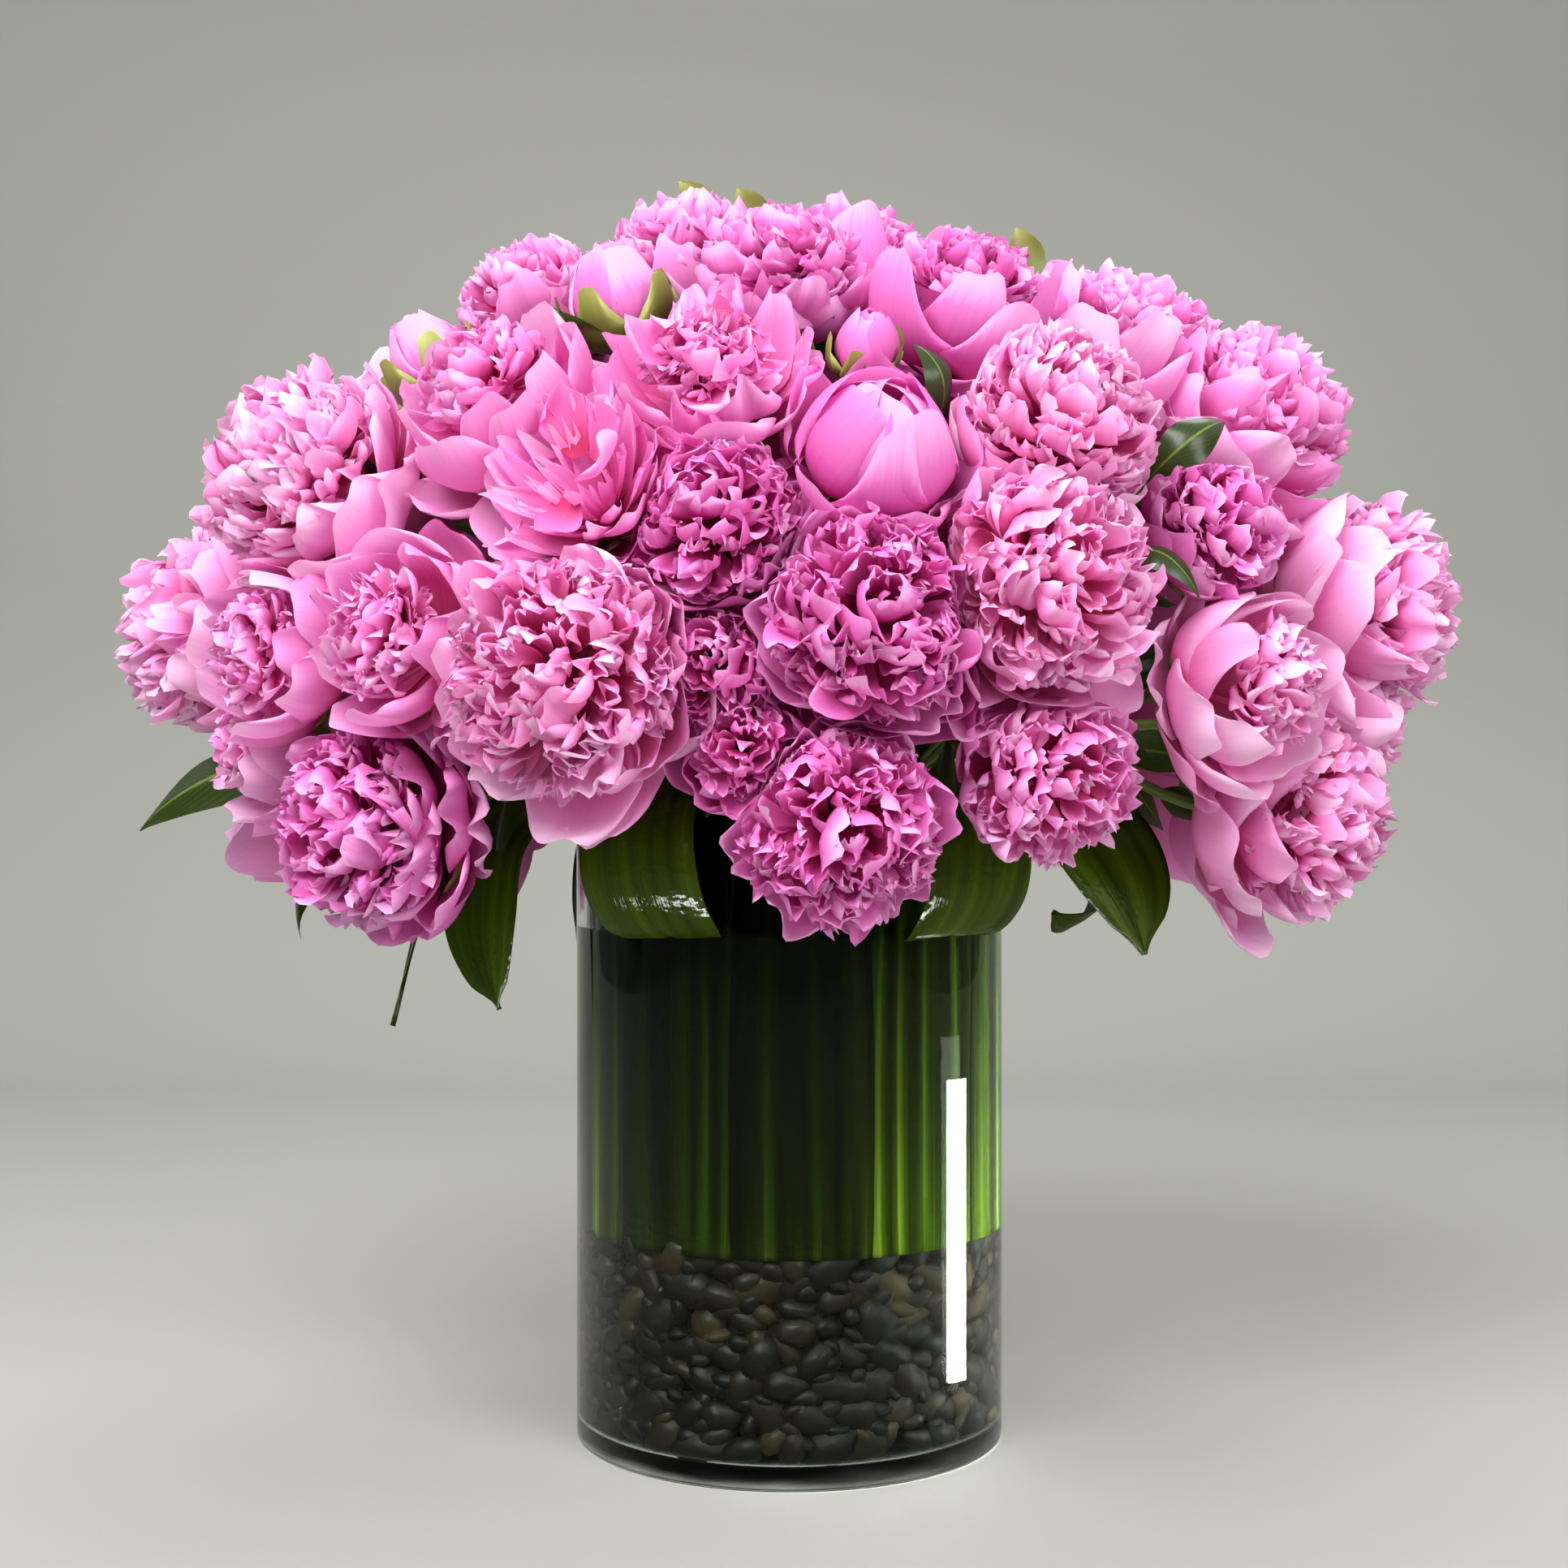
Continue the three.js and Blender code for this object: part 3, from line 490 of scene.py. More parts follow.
def limits_of(h, slack):
    """Unit normals (n, 3) and distances (n,) of the planes that bound a head, from its centre.

    The plane to a neighbour is square to the line between the two centres and divides it as their
    reaches do. Slack lets a thin petal reach past it, where it slips under that flower. A low head
    has one more plane, which keeps it off the vase's rim.
    """
    normals, distances = [], []
    for other in heads:
        away = other["centre"] - h["centre"]
        distance = np.linalg.norm(away)
        both = h["reach"] + other["reach"]
        if other["name"] == h["name"] or distance > both + NEIGHBOUR_RANGE:
            continue
        normals.append(away / distance)
        distances.append((distance * (h["reach"] / both) - NEIGHBOUR_GAP / 2) * slack)
    if h["centre"][2] < VASE_HEIGHT + h["reach"] + ABOVE_RIM:
        inward = -h["centre"] * [1, 1, 0]
        normals.append(unit(inward))
        distances.append(np.linalg.norm(inward) - (VASE_RADIUS + RIM_CLEARANCE))
    return np.array(normals), np.array(distances)


def room_towards(h, arms, slack):
    """How far one may go from the head's centre along each unit arm before the nearest limit."""
    normals, distances = limits_of(h, slack)
    lean = arms @ normals.T
    return np.where(lean > TINY, distances / np.maximum(lean, TINY), np.inf).min(-1)


def pressed(h, points, slack=1.0, sharpness=PETAL_PRESS):
    """A length l towards a limit at m becomes l / (1 + (l/m)^p)^(1/p), which stays under m."""
    arms = points - h["centre"]
    length = np.maximum(np.linalg.norm(arms, axis=-1, keepdims=True), TINY)
    arms = arms / length
    crowding = (length / room_towards(h, arms, slack)[..., None]) ** sharpness
    return h["centre"] + arms * length / (1 + crowding) ** (1 / sharpness)


def placed(h, local, spread=SPREAD):
    """Points of a head's own frame, in parts of its reach, put in place in millimetres."""
    x, y, z = (local[..., k:k + 1] * h["reach"] for k in range(3))
    return h["centre"] + spread * (x * h["side"] + y * h["over"]) + z * h["face"]


print("most limits round one head:", max(len(limits_of(h, 1)[1]) for h in flowers))

# %% [markdown]
# ## Petals
# A peony petal is a soft tongue, narrow at its foot and broad at a rounded, notched and waved edge.
# It could be modelled once and copied, but no two petals of a peony are alike. So a petal is a rib
# with a width: the rib is a curve in the plane through the flower's axis, the width opens along it,
# and the sheet curls about the rib. One function draws all petals of a layer as whole arrays.

# %% Sheets of petals
PETAL_BASE = 0.22
WIDEST_AT = 0.68
TIP_NARROWING = 0.3
TIP_CROWDING = 1.4
CORNER_CUT = 1.3
FLATTEST = 0.05
WAVES_PER_LOBE = 1.3
FOLD_SHARE = 0.6
SWAY_SHARE = 0.4
RIB_POINTS = ("root", "bend", "tip")


def petal_sheets(layer, rng):
    """Points (petals, rows, columns, 3) in the head's frame, and their places along and across.

    Rows stand closer towards the tip, where the edge is cut. Along the rib runs a quadratic curve
    from root by bend to tip. The half width is the layer's width times a sine that opens from the
    base, and an arc of that width curls inwards by the layer's cup angle. The corners of the tip
    are cut back by round times the fourth power of the place across, the edge is cut by notch in
    lobes, and the sheet is waved by ruffle.
    """
    count = len(layer["azimuth"])
    rows, columns = layer["grid"]
    s = 1 - (1 - np.linspace(0, 1, rows)[None, :, None]) ** TIP_CROWDING
    t = np.linspace(-1, 1, columns)[None, None, :]
    grow = {k: np.asarray(v, float).reshape(count, 1, 1) for k, v in layer.items()
            if k not in RIB_POINTS + ("grid", "slack")}
    root, bend, tip = (np.asarray(layer[k], float).reshape(count, 1, 1, 2) for k in RIB_POINTS)
    phase = rng.uniform(0, 2 * math.pi, (4, count, 1, 1))

    lobed = 0.5 - 0.5 * np.cos(grow["lobes"] * math.pi * t + phase[0])
    edge = 1 - CORNER_CUT * grow["round"] * t ** 4 - grow["notch"] * s ** 2 * lobed
    u = (s * edge)[..., None]
    rib = (1 - u) ** 2 * root + 2 * u * (1 - u) * bend + u ** 2 * tip
    tangent = unit((1 - u) * (bend - root) + u * (tip - bend) + 1e-9)
    outward = np.stack([tangent[..., 1], -tangent[..., 0]], -1)

    opening = PETAL_BASE + (1 - PETAL_BASE) * np.sin(math.pi / 2 * np.minimum(s / WIDEST_AT, 1))
    narrowing = 1 - TIP_NARROWING * (np.maximum(s - WIDEST_AT, 0) / (1 - WIDEST_AT)) ** 2
    half = grow["width"] * opening * narrowing
    bent = np.maximum(np.abs(grow["cup"]), FLATTEST) * np.sign(grow["cup"] + 1e-9)
    across = half * np.sin(bent * t) / bent
    inward = half * (1 - np.cos(bent * t)) / bent

    wave = np.sin(grow["lobes"] * WAVES_PER_LOBE * math.pi * t + phase[1] + 2 * s)
    fold = np.sin(2.2 * t + phase[2] + 3 * s)
    inward = inward + grow["ruffle"] * (s ** 2 * wave + FOLD_SHARE * s * fold)
    across = across + SWAY_SHARE * grow["ruffle"] * s * np.sin(3 * s + phase[3])
    turn = grow["twist"] * (0.4 + s)
    x = across * np.cos(turn) - inward * np.sin(turn)
    z = across * np.sin(turn) + inward * np.cos(turn)

    rho = rib[..., 0] - z * outward[..., 0]
    high = rib[..., 1] - z * outward[..., 1]
    azimuth = grow["azimuth"] + grow["lean"] * s ** 2
    local = np.stack([
        rho * np.cos(azimuth) - x * np.sin(azimuth),
        rho * np.sin(azimuth) + x * np.cos(azimuth), high], -1)
    return local, np.broadcast_to(s, local.shape[:3]), np.broadcast_to(t, local.shape[:3])


def facing_out(local):
    """Turns over each sheet whose faces point mostly at the flower's foot."""
    along = local[:, 1:, :-1] - local[:, :-1, :-1]
    across = local[:, :-1, 1:] - local[:, :-1, :-1]
    square = np.cross(across, along)
    outward = (square * (local[:, :-1, :-1] - [0, 0, -0.5])).sum((1, 2, 3)) > 0
    return np.where(outward[:, None, None, None], local, local[:, :, ::-1])


print("half width at the tip:", round(1 - TIP_NARROWING, 2), "of the widest")

# %% [markdown]
# ## Layers of petals
# A double peony has three kinds of layer. Broad guard petals stand in rings round the foot. Small
# ones, which were stamens once, crowd into a globe, where each next one turns by the golden angle,
# as seeds do in a sunflower, so that no two stand in line. A few stray ones stick out at odd
# angles. Sizes are in parts of the flower's reach.

# %% Rings, globes and strays
TYPICAL_REACH = 60
GOLDEN_ANGLE = math.pi * (3 - math.sqrt(5))
GLOBE_SLACK = 1.02
GUARD_SLACK = 1.15
SKIRT_SLACK = 1.5


def whorl(rng, count, turn, root, bend, tip, width, cup, ruffle, notch, grid, slack=None, lobes=1.4,
          jitter=0.1, rounding=0.3):
    """A layer of petals evenly round the axis, each a little off the rule. Root, bend and tip of
    the rib are (distance from the axis, height)."""
    vary = lambda amount: rng.uniform(-amount, amount, count)
    off = lambda point: np.array(point) + rng.uniform(-jitter, jitter, (count, 2))
    return {
        "azimuth": turn + np.arange(count) * 2 * math.pi / count + vary(1.2 * jitter),
        "root": np.tile(root, (count, 1)), "bend": off(bend), "tip": off(tip),
        "width": width * (1 + vary(0.16)), "cup": cup * (1 + vary(0.3)),
        "ruffle": ruffle * (1 + vary(0.5)), "notch": notch * (1 + vary(0.6)),
        "lobes": lobes * (1 + vary(0.3)), "round": rounding * (1 + vary(0.3)),
        "twist": vary(0.22), "lean": vary(0.16), "grid": grid, "slack": slack,
    }


def globe(rng, h, count, turn, width, radius, height, middle, open_to, depth, lean_in=0.3,
          ruffle=0.06, notch=0.16, twist=0.6):
    """Small petals all over a globe: tip k stands at polar angle acos of an even step, and turns
    by the golden angle. A larger flower has more of them, so that they're as big on every one."""
    larger = h["reach"] / TYPICAL_REACH
    count, width = int(count * larger ** 1.7), width * larger ** -0.8
    step = (np.arange(count) + 0.5) / count
    polar = np.arccos(1 - step * (1 - math.cos(open_to)))
    vary = lambda amount: rng.uniform(-amount, amount, count)
    # most petals are narrow and a few are nearly three times as broad, which lean in further
    breadth = 0.62 + 1.15 * rng.uniform(0, 1, count) ** 2.5
    tip_polar = np.abs(polar - lean_in * breadth * (0.15 + 0.85 * np.sin(polar)) + vary(0.12))
    size = 0.97 + 0.06 * breadth + vary(0.05)
    at = lambda angle, scale: np.stack([
        radius * scale * np.sin(angle), middle + height * scale * np.cos(angle)], -1)
    return {
        "azimuth": turn + np.arange(count) * GOLDEN_ANGLE + vary(0.25),
        "root": at(polar, depth * np.ones(count)), "bend": at(polar + 0.12 + vary(0.1), 0.9 * size),
        "tip": at(tip_polar, size), "width": width * breadth * (1 + vary(0.15)),
        "cup": 0.8 + vary(0.7), "ruffle": ruffle * (1 + vary(0.6)),
        "notch": notch * (1 + vary(0.7)), "lobes": 1.5 * (1 + vary(0.5)),
        "round": 0.22 * (1 + vary(0.8)), "twist": vary(twist), "lean": vary(0.25),
        "grid": (6, 9), "slack": GLOBE_SLACK,
    }


def strays(rng, count, turn, radius, grid=(9, 11)):
    """A few large loose petals that stand out of a flower at odd angles."""
    polar = rng.uniform(0.5, 1.35, count)
    at = lambda angle, scale: np.stack([
        radius * scale * np.sin(angle), radius * scale * np.cos(angle)], -1)
    ones = np.ones(count)
    return {
        "azimuth": turn + np.arange(count) * GOLDEN_ANGLE + rng.uniform(-0.4, 0.4, count),
        "root": at(polar, 0.3 * ones), "bend": at(polar + 0.25, 0.95 * ones),
        "tip": at(polar - 0.1, rng.uniform(1.08, 1.22, count)),
        "width": rng.uniform(0.2, 0.3, count), "cup": rng.uniform(0.3, 1.1, count),
        "ruffle": rng.uniform(0.03, 0.09, count), "notch": rng.uniform(0.02, 0.1, count),
        "lobes": rng.uniform(0.7, 1.6, count), "round": 0.3 * ones,
        "twist": rng.uniform(-0.8, 0.8, count), "lean": rng.uniform(-0.3, 0.3, count),
        "grid": grid, "slack": GUARD_SLACK,
    }


print("golden angle:", round(math.degrees(GOLDEN_ANGLE), 1), "degrees")

# %% [markdown]
# ## The forms of flower
# A bomb has a ring or two of broad guard petals round a globe of small ruffled ones. A cup is
# younger, with tall guards closed round that globe. An open flower lies flatter, with broad petals
# round a loose tuft. A bud shows only smooth petals wrapped over each other. Two flowers stand out
# in the photograph and have a form of their own: a star of narrow petals and a ball that is about
# to open. The lists say which flowers are seen without guards and which are loose.

# %% Skirts
# how far out the tips reach, in parts of the flower's reach
SHORT_SKIRT = 1.22
LONG_SKIRT = 1.26
BARE_GLOBES = (1, 5, 7, 10, 14, 17, 19, 22, 25, 28, 29)
LOOSE_FLOWERS = (6, 15, 18, 20, 24, 26)


def number_of(name):
    """The number in a flower's name."""
    return int(name[-2:])


def skirt(h, rng, turn):
    """The lowest ring of guards, which droops. Globes that are seen bare have none."""
    number = number_of(h["name"])
    if number in BARE_GLOBES:
        return []
    out = LONG_SKIRT if number in LOOSE_FLOWERS else SHORT_SKIRT
    return [whorl(rng, 5, turn + 0.9, (0.1, -0.84), (0.95, -1.0), (out, -0.3), width=0.6, cup=0.5,
                  ruffle=0.08, notch=0.05, jitter=0.14, grid=(11, 15), slack=SKIRT_SLACK)]


print(len(BARE_GLOBES), "bare globes and", len(LOOSE_FLOWERS), "loose flowers")

# %% Bombs and cups
# how far out the guards' tips reach
BARE_GUARDS = 0.9
FULL_GUARDS = 1.2


def bomb_layers(h, rng, turn):
    """Drooping guards, two rings of guards, some loose petals and a big globe."""
    number = number_of(h["name"])
    out = BARE_GUARDS if number in BARE_GLOBES else FULL_GUARDS
    return skirt(h, rng, turn) + [
        whorl(rng, 6, turn, (0.1, -0.8), (0.96 * out, -0.72), (out, 0.0), width=0.58, cup=0.8,
              ruffle=0.07, notch=0.05, lobes=1.5, grid=(12, 15), slack=GUARD_SLACK),
        whorl(rng, 6, turn + 0.5, (0.1, -0.7), (1.05, -0.4), (0.98, 0.32), width=0.46, cup=0.8,
              ruffle=0.07, notch=0.08, lobes=1.5, grid=(11, 13), slack=GUARD_SLACK),
        strays(rng, 6 if number in LOOSE_FLOWERS else 3, turn, 0.85 + 0.75 * (out - 1)),
        globe(rng, h, 190, turn, width=0.165, radius=0.93, height=0.94, middle=0.03, open_to=1.9,
              depth=0.42),
    ]


def cup_layers(h, rng, turn):
    """Drooping guards, two rings of tall guards and a smaller globe inside them."""
    return skirt(h, rng, turn) + [
        whorl(rng, 5, turn, (0.1, -0.82), (1.2, -0.8), (1.02, 0.42), width=0.7, cup=1.0,
              ruffle=0.05, notch=0.04, grid=(13, 15), slack=GUARD_SLACK),
        whorl(rng, 5, turn + 0.6, (0.1, -0.75), (1.14, -0.5), (0.84, 0.62), width=0.62, cup=1.1,
              ruffle=0.05, notch=0.05, grid=(13, 13), slack=GLOBE_SLACK),
        strays(rng, 2, turn, 0.86),
        globe(rng, h, 115, turn, width=0.15, radius=0.7, height=0.76, middle=0.02, open_to=1.5,
              depth=0.35),
    ]


# %% Open flowers
OPEN_ROOT = (0.1, -0.62)
OPEN_BEND = (0.95, -0.72)
INNER_ROOT = (0.08, -0.5)


def open_layers(h, rng, turn):
    """Wide open: broad ruffled petals at all angles round a loose tuft of small ones."""
    return skirt(h, rng, turn) + [
        whorl(rng, 6, turn, OPEN_ROOT, OPEN_BEND, (1.15, 0.1), width=0.56, cup=0.8, ruffle=0.09,
              notch=0.06, jitter=0.14, grid=(13, 15), slack=GUARD_SLACK),
        whorl(rng, 7, turn + 0.4, INNER_ROOT, (0.85, -0.5), (0.98, 0.5), width=0.4, cup=0.9,
              ruffle=0.1, notch=0.08, jitter=0.16, grid=(12, 13), slack=GLOBE_SLACK),
        strays(rng, 7, turn, 0.88, grid=(10, 11)),
        globe(rng, h, 70, turn, width=0.17, radius=0.62, height=0.66, middle=0.0, open_to=1.4,
              depth=0.3, lean_in=0.1, ruffle=0.08, notch=0.2, twist=0.9),
    ]


def star_layers(h, rng, turn):
    """Wide open: a few broad petals and narrow ones that spread like rays from a sunken heart."""
    ray = dict(cup=0.9, ruffle=0.03, notch=0.12, lobes=1.6, jitter=0.12, rounding=0.1,
               slack=GLOBE_SLACK)
    return skirt(h, rng, turn) + [
        whorl(rng, 6, turn, OPEN_ROOT, OPEN_BEND, (1.18, 0.12), width=0.56, cup=0.8, ruffle=0.08,
              notch=0.05, jitter=0.14, grid=(13, 15), slack=GUARD_SLACK),
        whorl(rng, 6, turn + 0.4, INNER_ROOT, (0.8, -0.5), (1.0, 0.5), width=0.4, cup=0.9,
              ruffle=0.07, notch=0.06, jitter=0.16, grid=(12, 13), slack=GLOBE_SLACK),
        strays(rng, 4, turn, 0.85, grid=(10, 11)),
        whorl(rng, 13, turn + 0.9, (0.06, -0.6), (0.4, -0.4), (0.78, 0.55), width=0.15,
              grid=(11, 8), **ray),
        whorl(rng, 11, turn + 1.7, (0.05, -0.6), (0.2, -0.3), (0.42, 0.55), width=0.11,
              grid=(10, 7), **ray),
    ]


# %% Closed flowers
def ball_layers(h, rng, turn):
    """About to open: loose guards behind a ball of broad smooth petals closed over each other."""
    wrap = dict(cup=1.3, ruffle=0.03, notch=0.02, lobes=1.2, jitter=0.06, rounding=0.2,
                slack=GLOBE_SLACK)
    return skirt(h, rng, turn) + [
        whorl(rng, 5, turn, (0.1, -0.82), (1.2, -0.8), (1.12, 0.3), width=0.62, cup=0.8,
              ruffle=0.07, notch=0.04, jitter=0.14, grid=(13, 15), slack=GUARD_SLACK),
        whorl(rng, 4, turn + 0.6, (0.1, -0.8), (1.3, -0.5), (0.3, 0.86), width=1.05, grid=(15, 17),
              **wrap),
        whorl(rng, 4, turn + 1.3, (0.1, -0.7), (1.15, -0.2), (0.05, 0.86), width=0.9,
              grid=(14, 15), **wrap),
    ]


def bud_layers(h, rng, turn):
    """Three rings of smooth petals wrapped round each other."""
    wrap = dict(lobes=2, jitter=0.06, slack=GLOBE_SLACK)
    return [
        whorl(rng, 5, turn, (0.1, -0.93), (1.25, -0.6), (0.26, 0.84), width=0.85, cup=1.35,
              ruffle=0.02, notch=0.02, grid=(14, 13), **wrap),
        whorl(rng, 4, turn + 0.5, (0.08, -0.9), (1.0, -0.3), (0.1, 0.93), width=0.7, cup=1.5,
              ruffle=0.02, notch=0.03, grid=(12, 11), **wrap),
        whorl(rng, 4, turn + 1.1, (0.06, -0.8), (0.8, -0.1), (0.06, 0.86), width=0.5, cup=1.6,
              ruffle=0.03, notch=0.04, grid=(10, 9), **wrap),
    ]


FORM_LAYERS = {"bomb": bomb_layers, "cup": cup_layers, "open": open_layers, "bud": bud_layers}
SINGULAR_LAYERS = {"peony_13": ball_layers, "peony_16": star_layers}
for form, layers in {**FORM_LAYERS, "ball": ball_layers, "star": star_layers}.items():
    sample = layers(flowers[0], np.random.default_rng(0), 0)
    print(form, "form:", sum(len(layer["azimuth"]) for layer in sample), "petals")

# %% [markdown]
# ## Fresh peony petal
# A petal is a thin skin full of water. Light goes through it and colours the folds behind, it has a
# soft gloss, and it pales from its foot to its free edge. Subsurface scattering would show that
# too, but it is meant for thick things, so a share of translucent light is mixed in. The colour
# follows the place along the petal, kept in an attribute, with fine veins that run the same way.

# %% Petal finish
# In millimetres. A petal's veins are less than 1 mm apart, too fine to show, so they are drawn
# 2.5 mm apart.
PETAL_HALF_WIDTH = 35
PETAL_LENGTH = 48
PETAL_VEIN_SPACING = 2.5
PETAL_STREAK = 40
# Each shift of the place between foot and rim is a factor and an amount that is added.
OWN_SHIFT = (0.35, -0.17)
VEIN_SHIFT = (0.24, -0.12)


def petal_finish(name, deep, body, light, rim):
    """Four colours from foot to rim, shifted a little for each petal and by its veins."""
    material, tree, shader = new_material(name, Roughness=0.55, IOR=1.35, Specular_IOR_Level=0.15)
    tone = add_node(tree, "ShaderNodeVertexColor", {"layer_name": "tone"})
    parts = add_node(tree, "ShaderNodeSeparateColor", links={"Color": tone})
    strip = add_node(tree, "ShaderNodeUVMap", {"uv_map": "strip"})
    scale = (PETAL_HALF_WIDTH / PETAL_VEIN_SPACING, PETAL_LENGTH / PETAL_STREAK, 1)
    stretch = add_node(tree, "ShaderNodeMapping", {"Scale": scale}, {"Vector": strip})
    veins = add_node(tree, "ShaderNodeTexNoise", {"Scale": 1.0, "Detail": 2.0}, {"Vector": stretch})
    lift = add_node(tree, "ShaderNodeMath",
                    {"operation": "MULTIPLY_ADD", 1: OWN_SHIFT[0], 2: OWN_SHIFT[1]},
                    {0: parts.outputs["Green"]})
    lifted = add_node(tree, "ShaderNodeMath", {"operation": "ADD"},
                      {0: parts.outputs["Red"], 1: lift})
    streak = add_node(tree, "ShaderNodeMath",
                      {"operation": "MULTIPLY_ADD", 1: VEIN_SHIFT[0], 2: VEIN_SHIFT[1]},
                      {0: veins})
    place = add_node(tree, "ShaderNodeMath", {"operation": "ADD", "use_clamp": True},
                     {0: lifted, 1: streak})
    colour = add_node(tree, "ShaderNodeValToRGB",
                      {"stops": [(0.0, deep), (0.5, body), (0.86, light), (1.0, rim)]},
                      {"Fac": place})
    tree.links.new(colour.outputs["Color"], shader.inputs["Base Color"])
    let_light_through(tree, shader, share=0.35, links={"Color": colour})
    return material


PETAL_COLOURS = {
    "pale": ("#cc4670", "#f892d0", "#fdb8ea", "#ffd4f4"),
    "mid": ("#c03866", "#f280c8", "#fba8e6", "#ffc9f2"),
    "deep": ("#a8265a", "#e464b8", "#f290d8", "#fcbcee"),
}
PALE_FLOWERS = (14, 15, 18, 20, 21, 24, 27, 31)
DEEP_FLOWERS = (2, 3, 8, 9, 10, 13, 17, 19, 25, 26, 29, 30, 32)
petal_skins = {
    depth: petal_finish(f"fresh peony petal, {depth} pink", *colours)
    for depth, colours in PETAL_COLOURS.items()
}
print(len(PALE_FLOWERS), "pale flowers,", len(DEEP_FLOWERS), "deep ones")


# %% Peonies
def flower_parts(h):
    """Each layer of one flower as (points, faces), with the place across and along its petal and
    the petal's own number for each vertex."""
    rng = np.random.default_rng(h["seed"])
    rng.uniform(0, 1)  # a spare draw: the flowers were matched with the ones that follow it
    turn = draw(h["seed"], 2) * 2 * math.pi
    layers = SINGULAR_LAYERS.get(h["name"], FORM_LAYERS[h["form"]])
    parts = []
    for layer in layers(h, rng, turn):
        local, along, across = petal_sheets(layer, rng)
        own = np.broadcast_to(rng.uniform(0, 1, (len(local), 1, 1)), along.shape)
        sheets = pressed(h, placed(h, facing_out(local)), layer["slack"])
        mesh = sheets.reshape(-1, 3), [grid_faces(len(local), *layer["grid"])]
        parts.append((mesh, across.ravel(), along.ravel(), own.ravel()))
    return parts


for name in dict.fromkeys(h["name"] for h in flowers):
    parts = [part for h in flowers if h["name"] == name for part in flower_parts(h)]
    meshes, *numbers = zip(*parts)
    across, along, own = (np.concatenate(n) for n in numbers)
    number = number_of(name)
    depth = "pale" if number in PALE_FLOWERS else "deep" if number in DEEP_FLOWERS else "mid"
    piece = add_mesh(f"{name}_petals", *gathered(meshes), petal_skins[depth])
    set_uv(piece, np.stack([across, along], -1))
    set_tone(piece, along, own)
    in_place(piece, "petal", name)

# %% [markdown]
# ## Stems
# Every flower has its own stem. They come up out of the vase as one bunch, fan out over the rim
# and widen into a green cup under the flower. A curve object with a bevel would do, but it keeps
# one thickness unless every point is set, so a ring of points is carried along a smooth curve. Only
# short lengths of stem show between the petals, and seven sides look round enough there.

# %% Smooth curves and tubes
def smooth_path(points, count):
    """Smooth curve through points (n, d): between two of them, a cubic whose slope at each end is
    half the way from the point before to the point after."""
    points = np.asarray(points, float)
    padded = np.concatenate([2 * points[:1] - points[1:2], points, 2 * points[-1:] - points[-2:-1]])
    place = np.linspace(0, len(points) - 1, count)
    span = np.minimum(place.astype(int), len(points) - 2)
    u = (place - span)[:, None]
    before, here, there, after = (padded[span + k] for k in range(4))
    return 0.5 * (2 * here + (there - before) * u
                  + (2 * before - 5 * here + 4 * there - after) * u ** 2
                  + (3 * here - before - 3 * there + after) * u ** 3)


def tube(path, radii, sides, sideways):
    """A closed tube: rings square to the path (n, 3) with the given radii."""
    path = np.asarray(path, float)
    along = unit(np.gradient(path, axis=0))
    side = unit(sideways - along * (along @ sideways)[:, None])
    over = np.cross(along, side)
    angle = np.arange(sides) * 2 * math.pi / sides
    radii = np.asarray(radii, float)[:, None, None]
    rings = path[:, None] + radii * (np.cos(angle)[:, None] * side[:, None]
                                     + np.sin(angle)[:, None] * over[:, None])
    return closed_rings(rings, path[0], path[-1])


print("a smooth path over a peak of 1 is", smooth_path([(0, 0), (1, 1), (2, 0)], 5)[1, 1],
      "high halfway up")

# %% Paths of the stems
STEM_RADIUS = 3.2
STEM_SIDES = 7
STEM_RINGS = 14
STALK_LENGTH = 22
CUP_WIDENING = 1.6
BUNCH_RADIUS = 48
BUNCH_TOP_RADIUS = BUNCH_RADIUS - 5
ROOT_DEPTH = 8
FOOT_SHARPNESS = 9
LOW_HEAD = 30
OFF_RIM = 3
ARCH = 12
# where a leaf's stem ends and bends, in parts of the leaf's reach behind its centre
LEAF_SEAT = 0.45
LEAF_STALK = 0.5
UP = np.array([0, 0, 1.0])
# how high up its axis each form is held by its stem, in parts of its reach
FOOT_DEPTH = {"bomb": -0.82, "cup": -0.84, "open": -0.66, "bud": -0.96}


def over_rim(root, end, azimuth):
    """Halfway point of a stem, lifted over the vase's rim where the head hangs low."""
    if end[2] < VASE_HEIGHT + RIM_CLEARANCE + LOW_HEAD:
        return around_axis(VASE_RADIUS + OFF_RIM, azimuth, VASE_HEIGHT + RIM_CLEARANCE)
    return (root + end) / 2 + ARCH * UP


def stem_path(h):
    """Points of a stem from the neck of the bunch to its head."""
    azimuth = math.atan2(h["centre"][0], -h["centre"][1])
    flat = np.linalg.norm(h["centre"][:2])
    lean = flat / math.hypot(flat, max(h["centre"][2] - NECK_HEIGHT, 0))
    root = around_axis(BUNCH_TOP_RADIUS * lean, azimuth, NECK_HEIGHT - ROOT_DEPTH)
    if h["form"] == "leaf":
        end = h["centre"] - LEAF_SEAT * h["reach"] * h["face"]
        bend = end - LEAF_STALK * h["reach"] * h["face"]
    else:
        foot = h["centre"] + FOOT_DEPTH[h["form"]] * h["reach"] * h["face"]
        end = pressed(h, foot, 1.0, FOOT_SHARPNESS)
        bend = end - STALK_LENGTH * h["face"]
    return np.array([root, over_rim(root, bend, azimuth), bend, end]), azimuth


print("the first stem ends at", stem_path(heads[0])[0][-1].round(1))

# %% Stems and bunch
PEBBLE_TOP = 130
BUNCH_STEMS = 18
BUNCH_FOOT_RADIUS = BUNCH_RADIUS - 4
BUNCH_THICKNESS = 1.6
BUNCH_SIDES = 8
BUNCH_RINGS = 6
BUNCH_TWIST = 0.5

stem_curves = {}
stem_parts = []
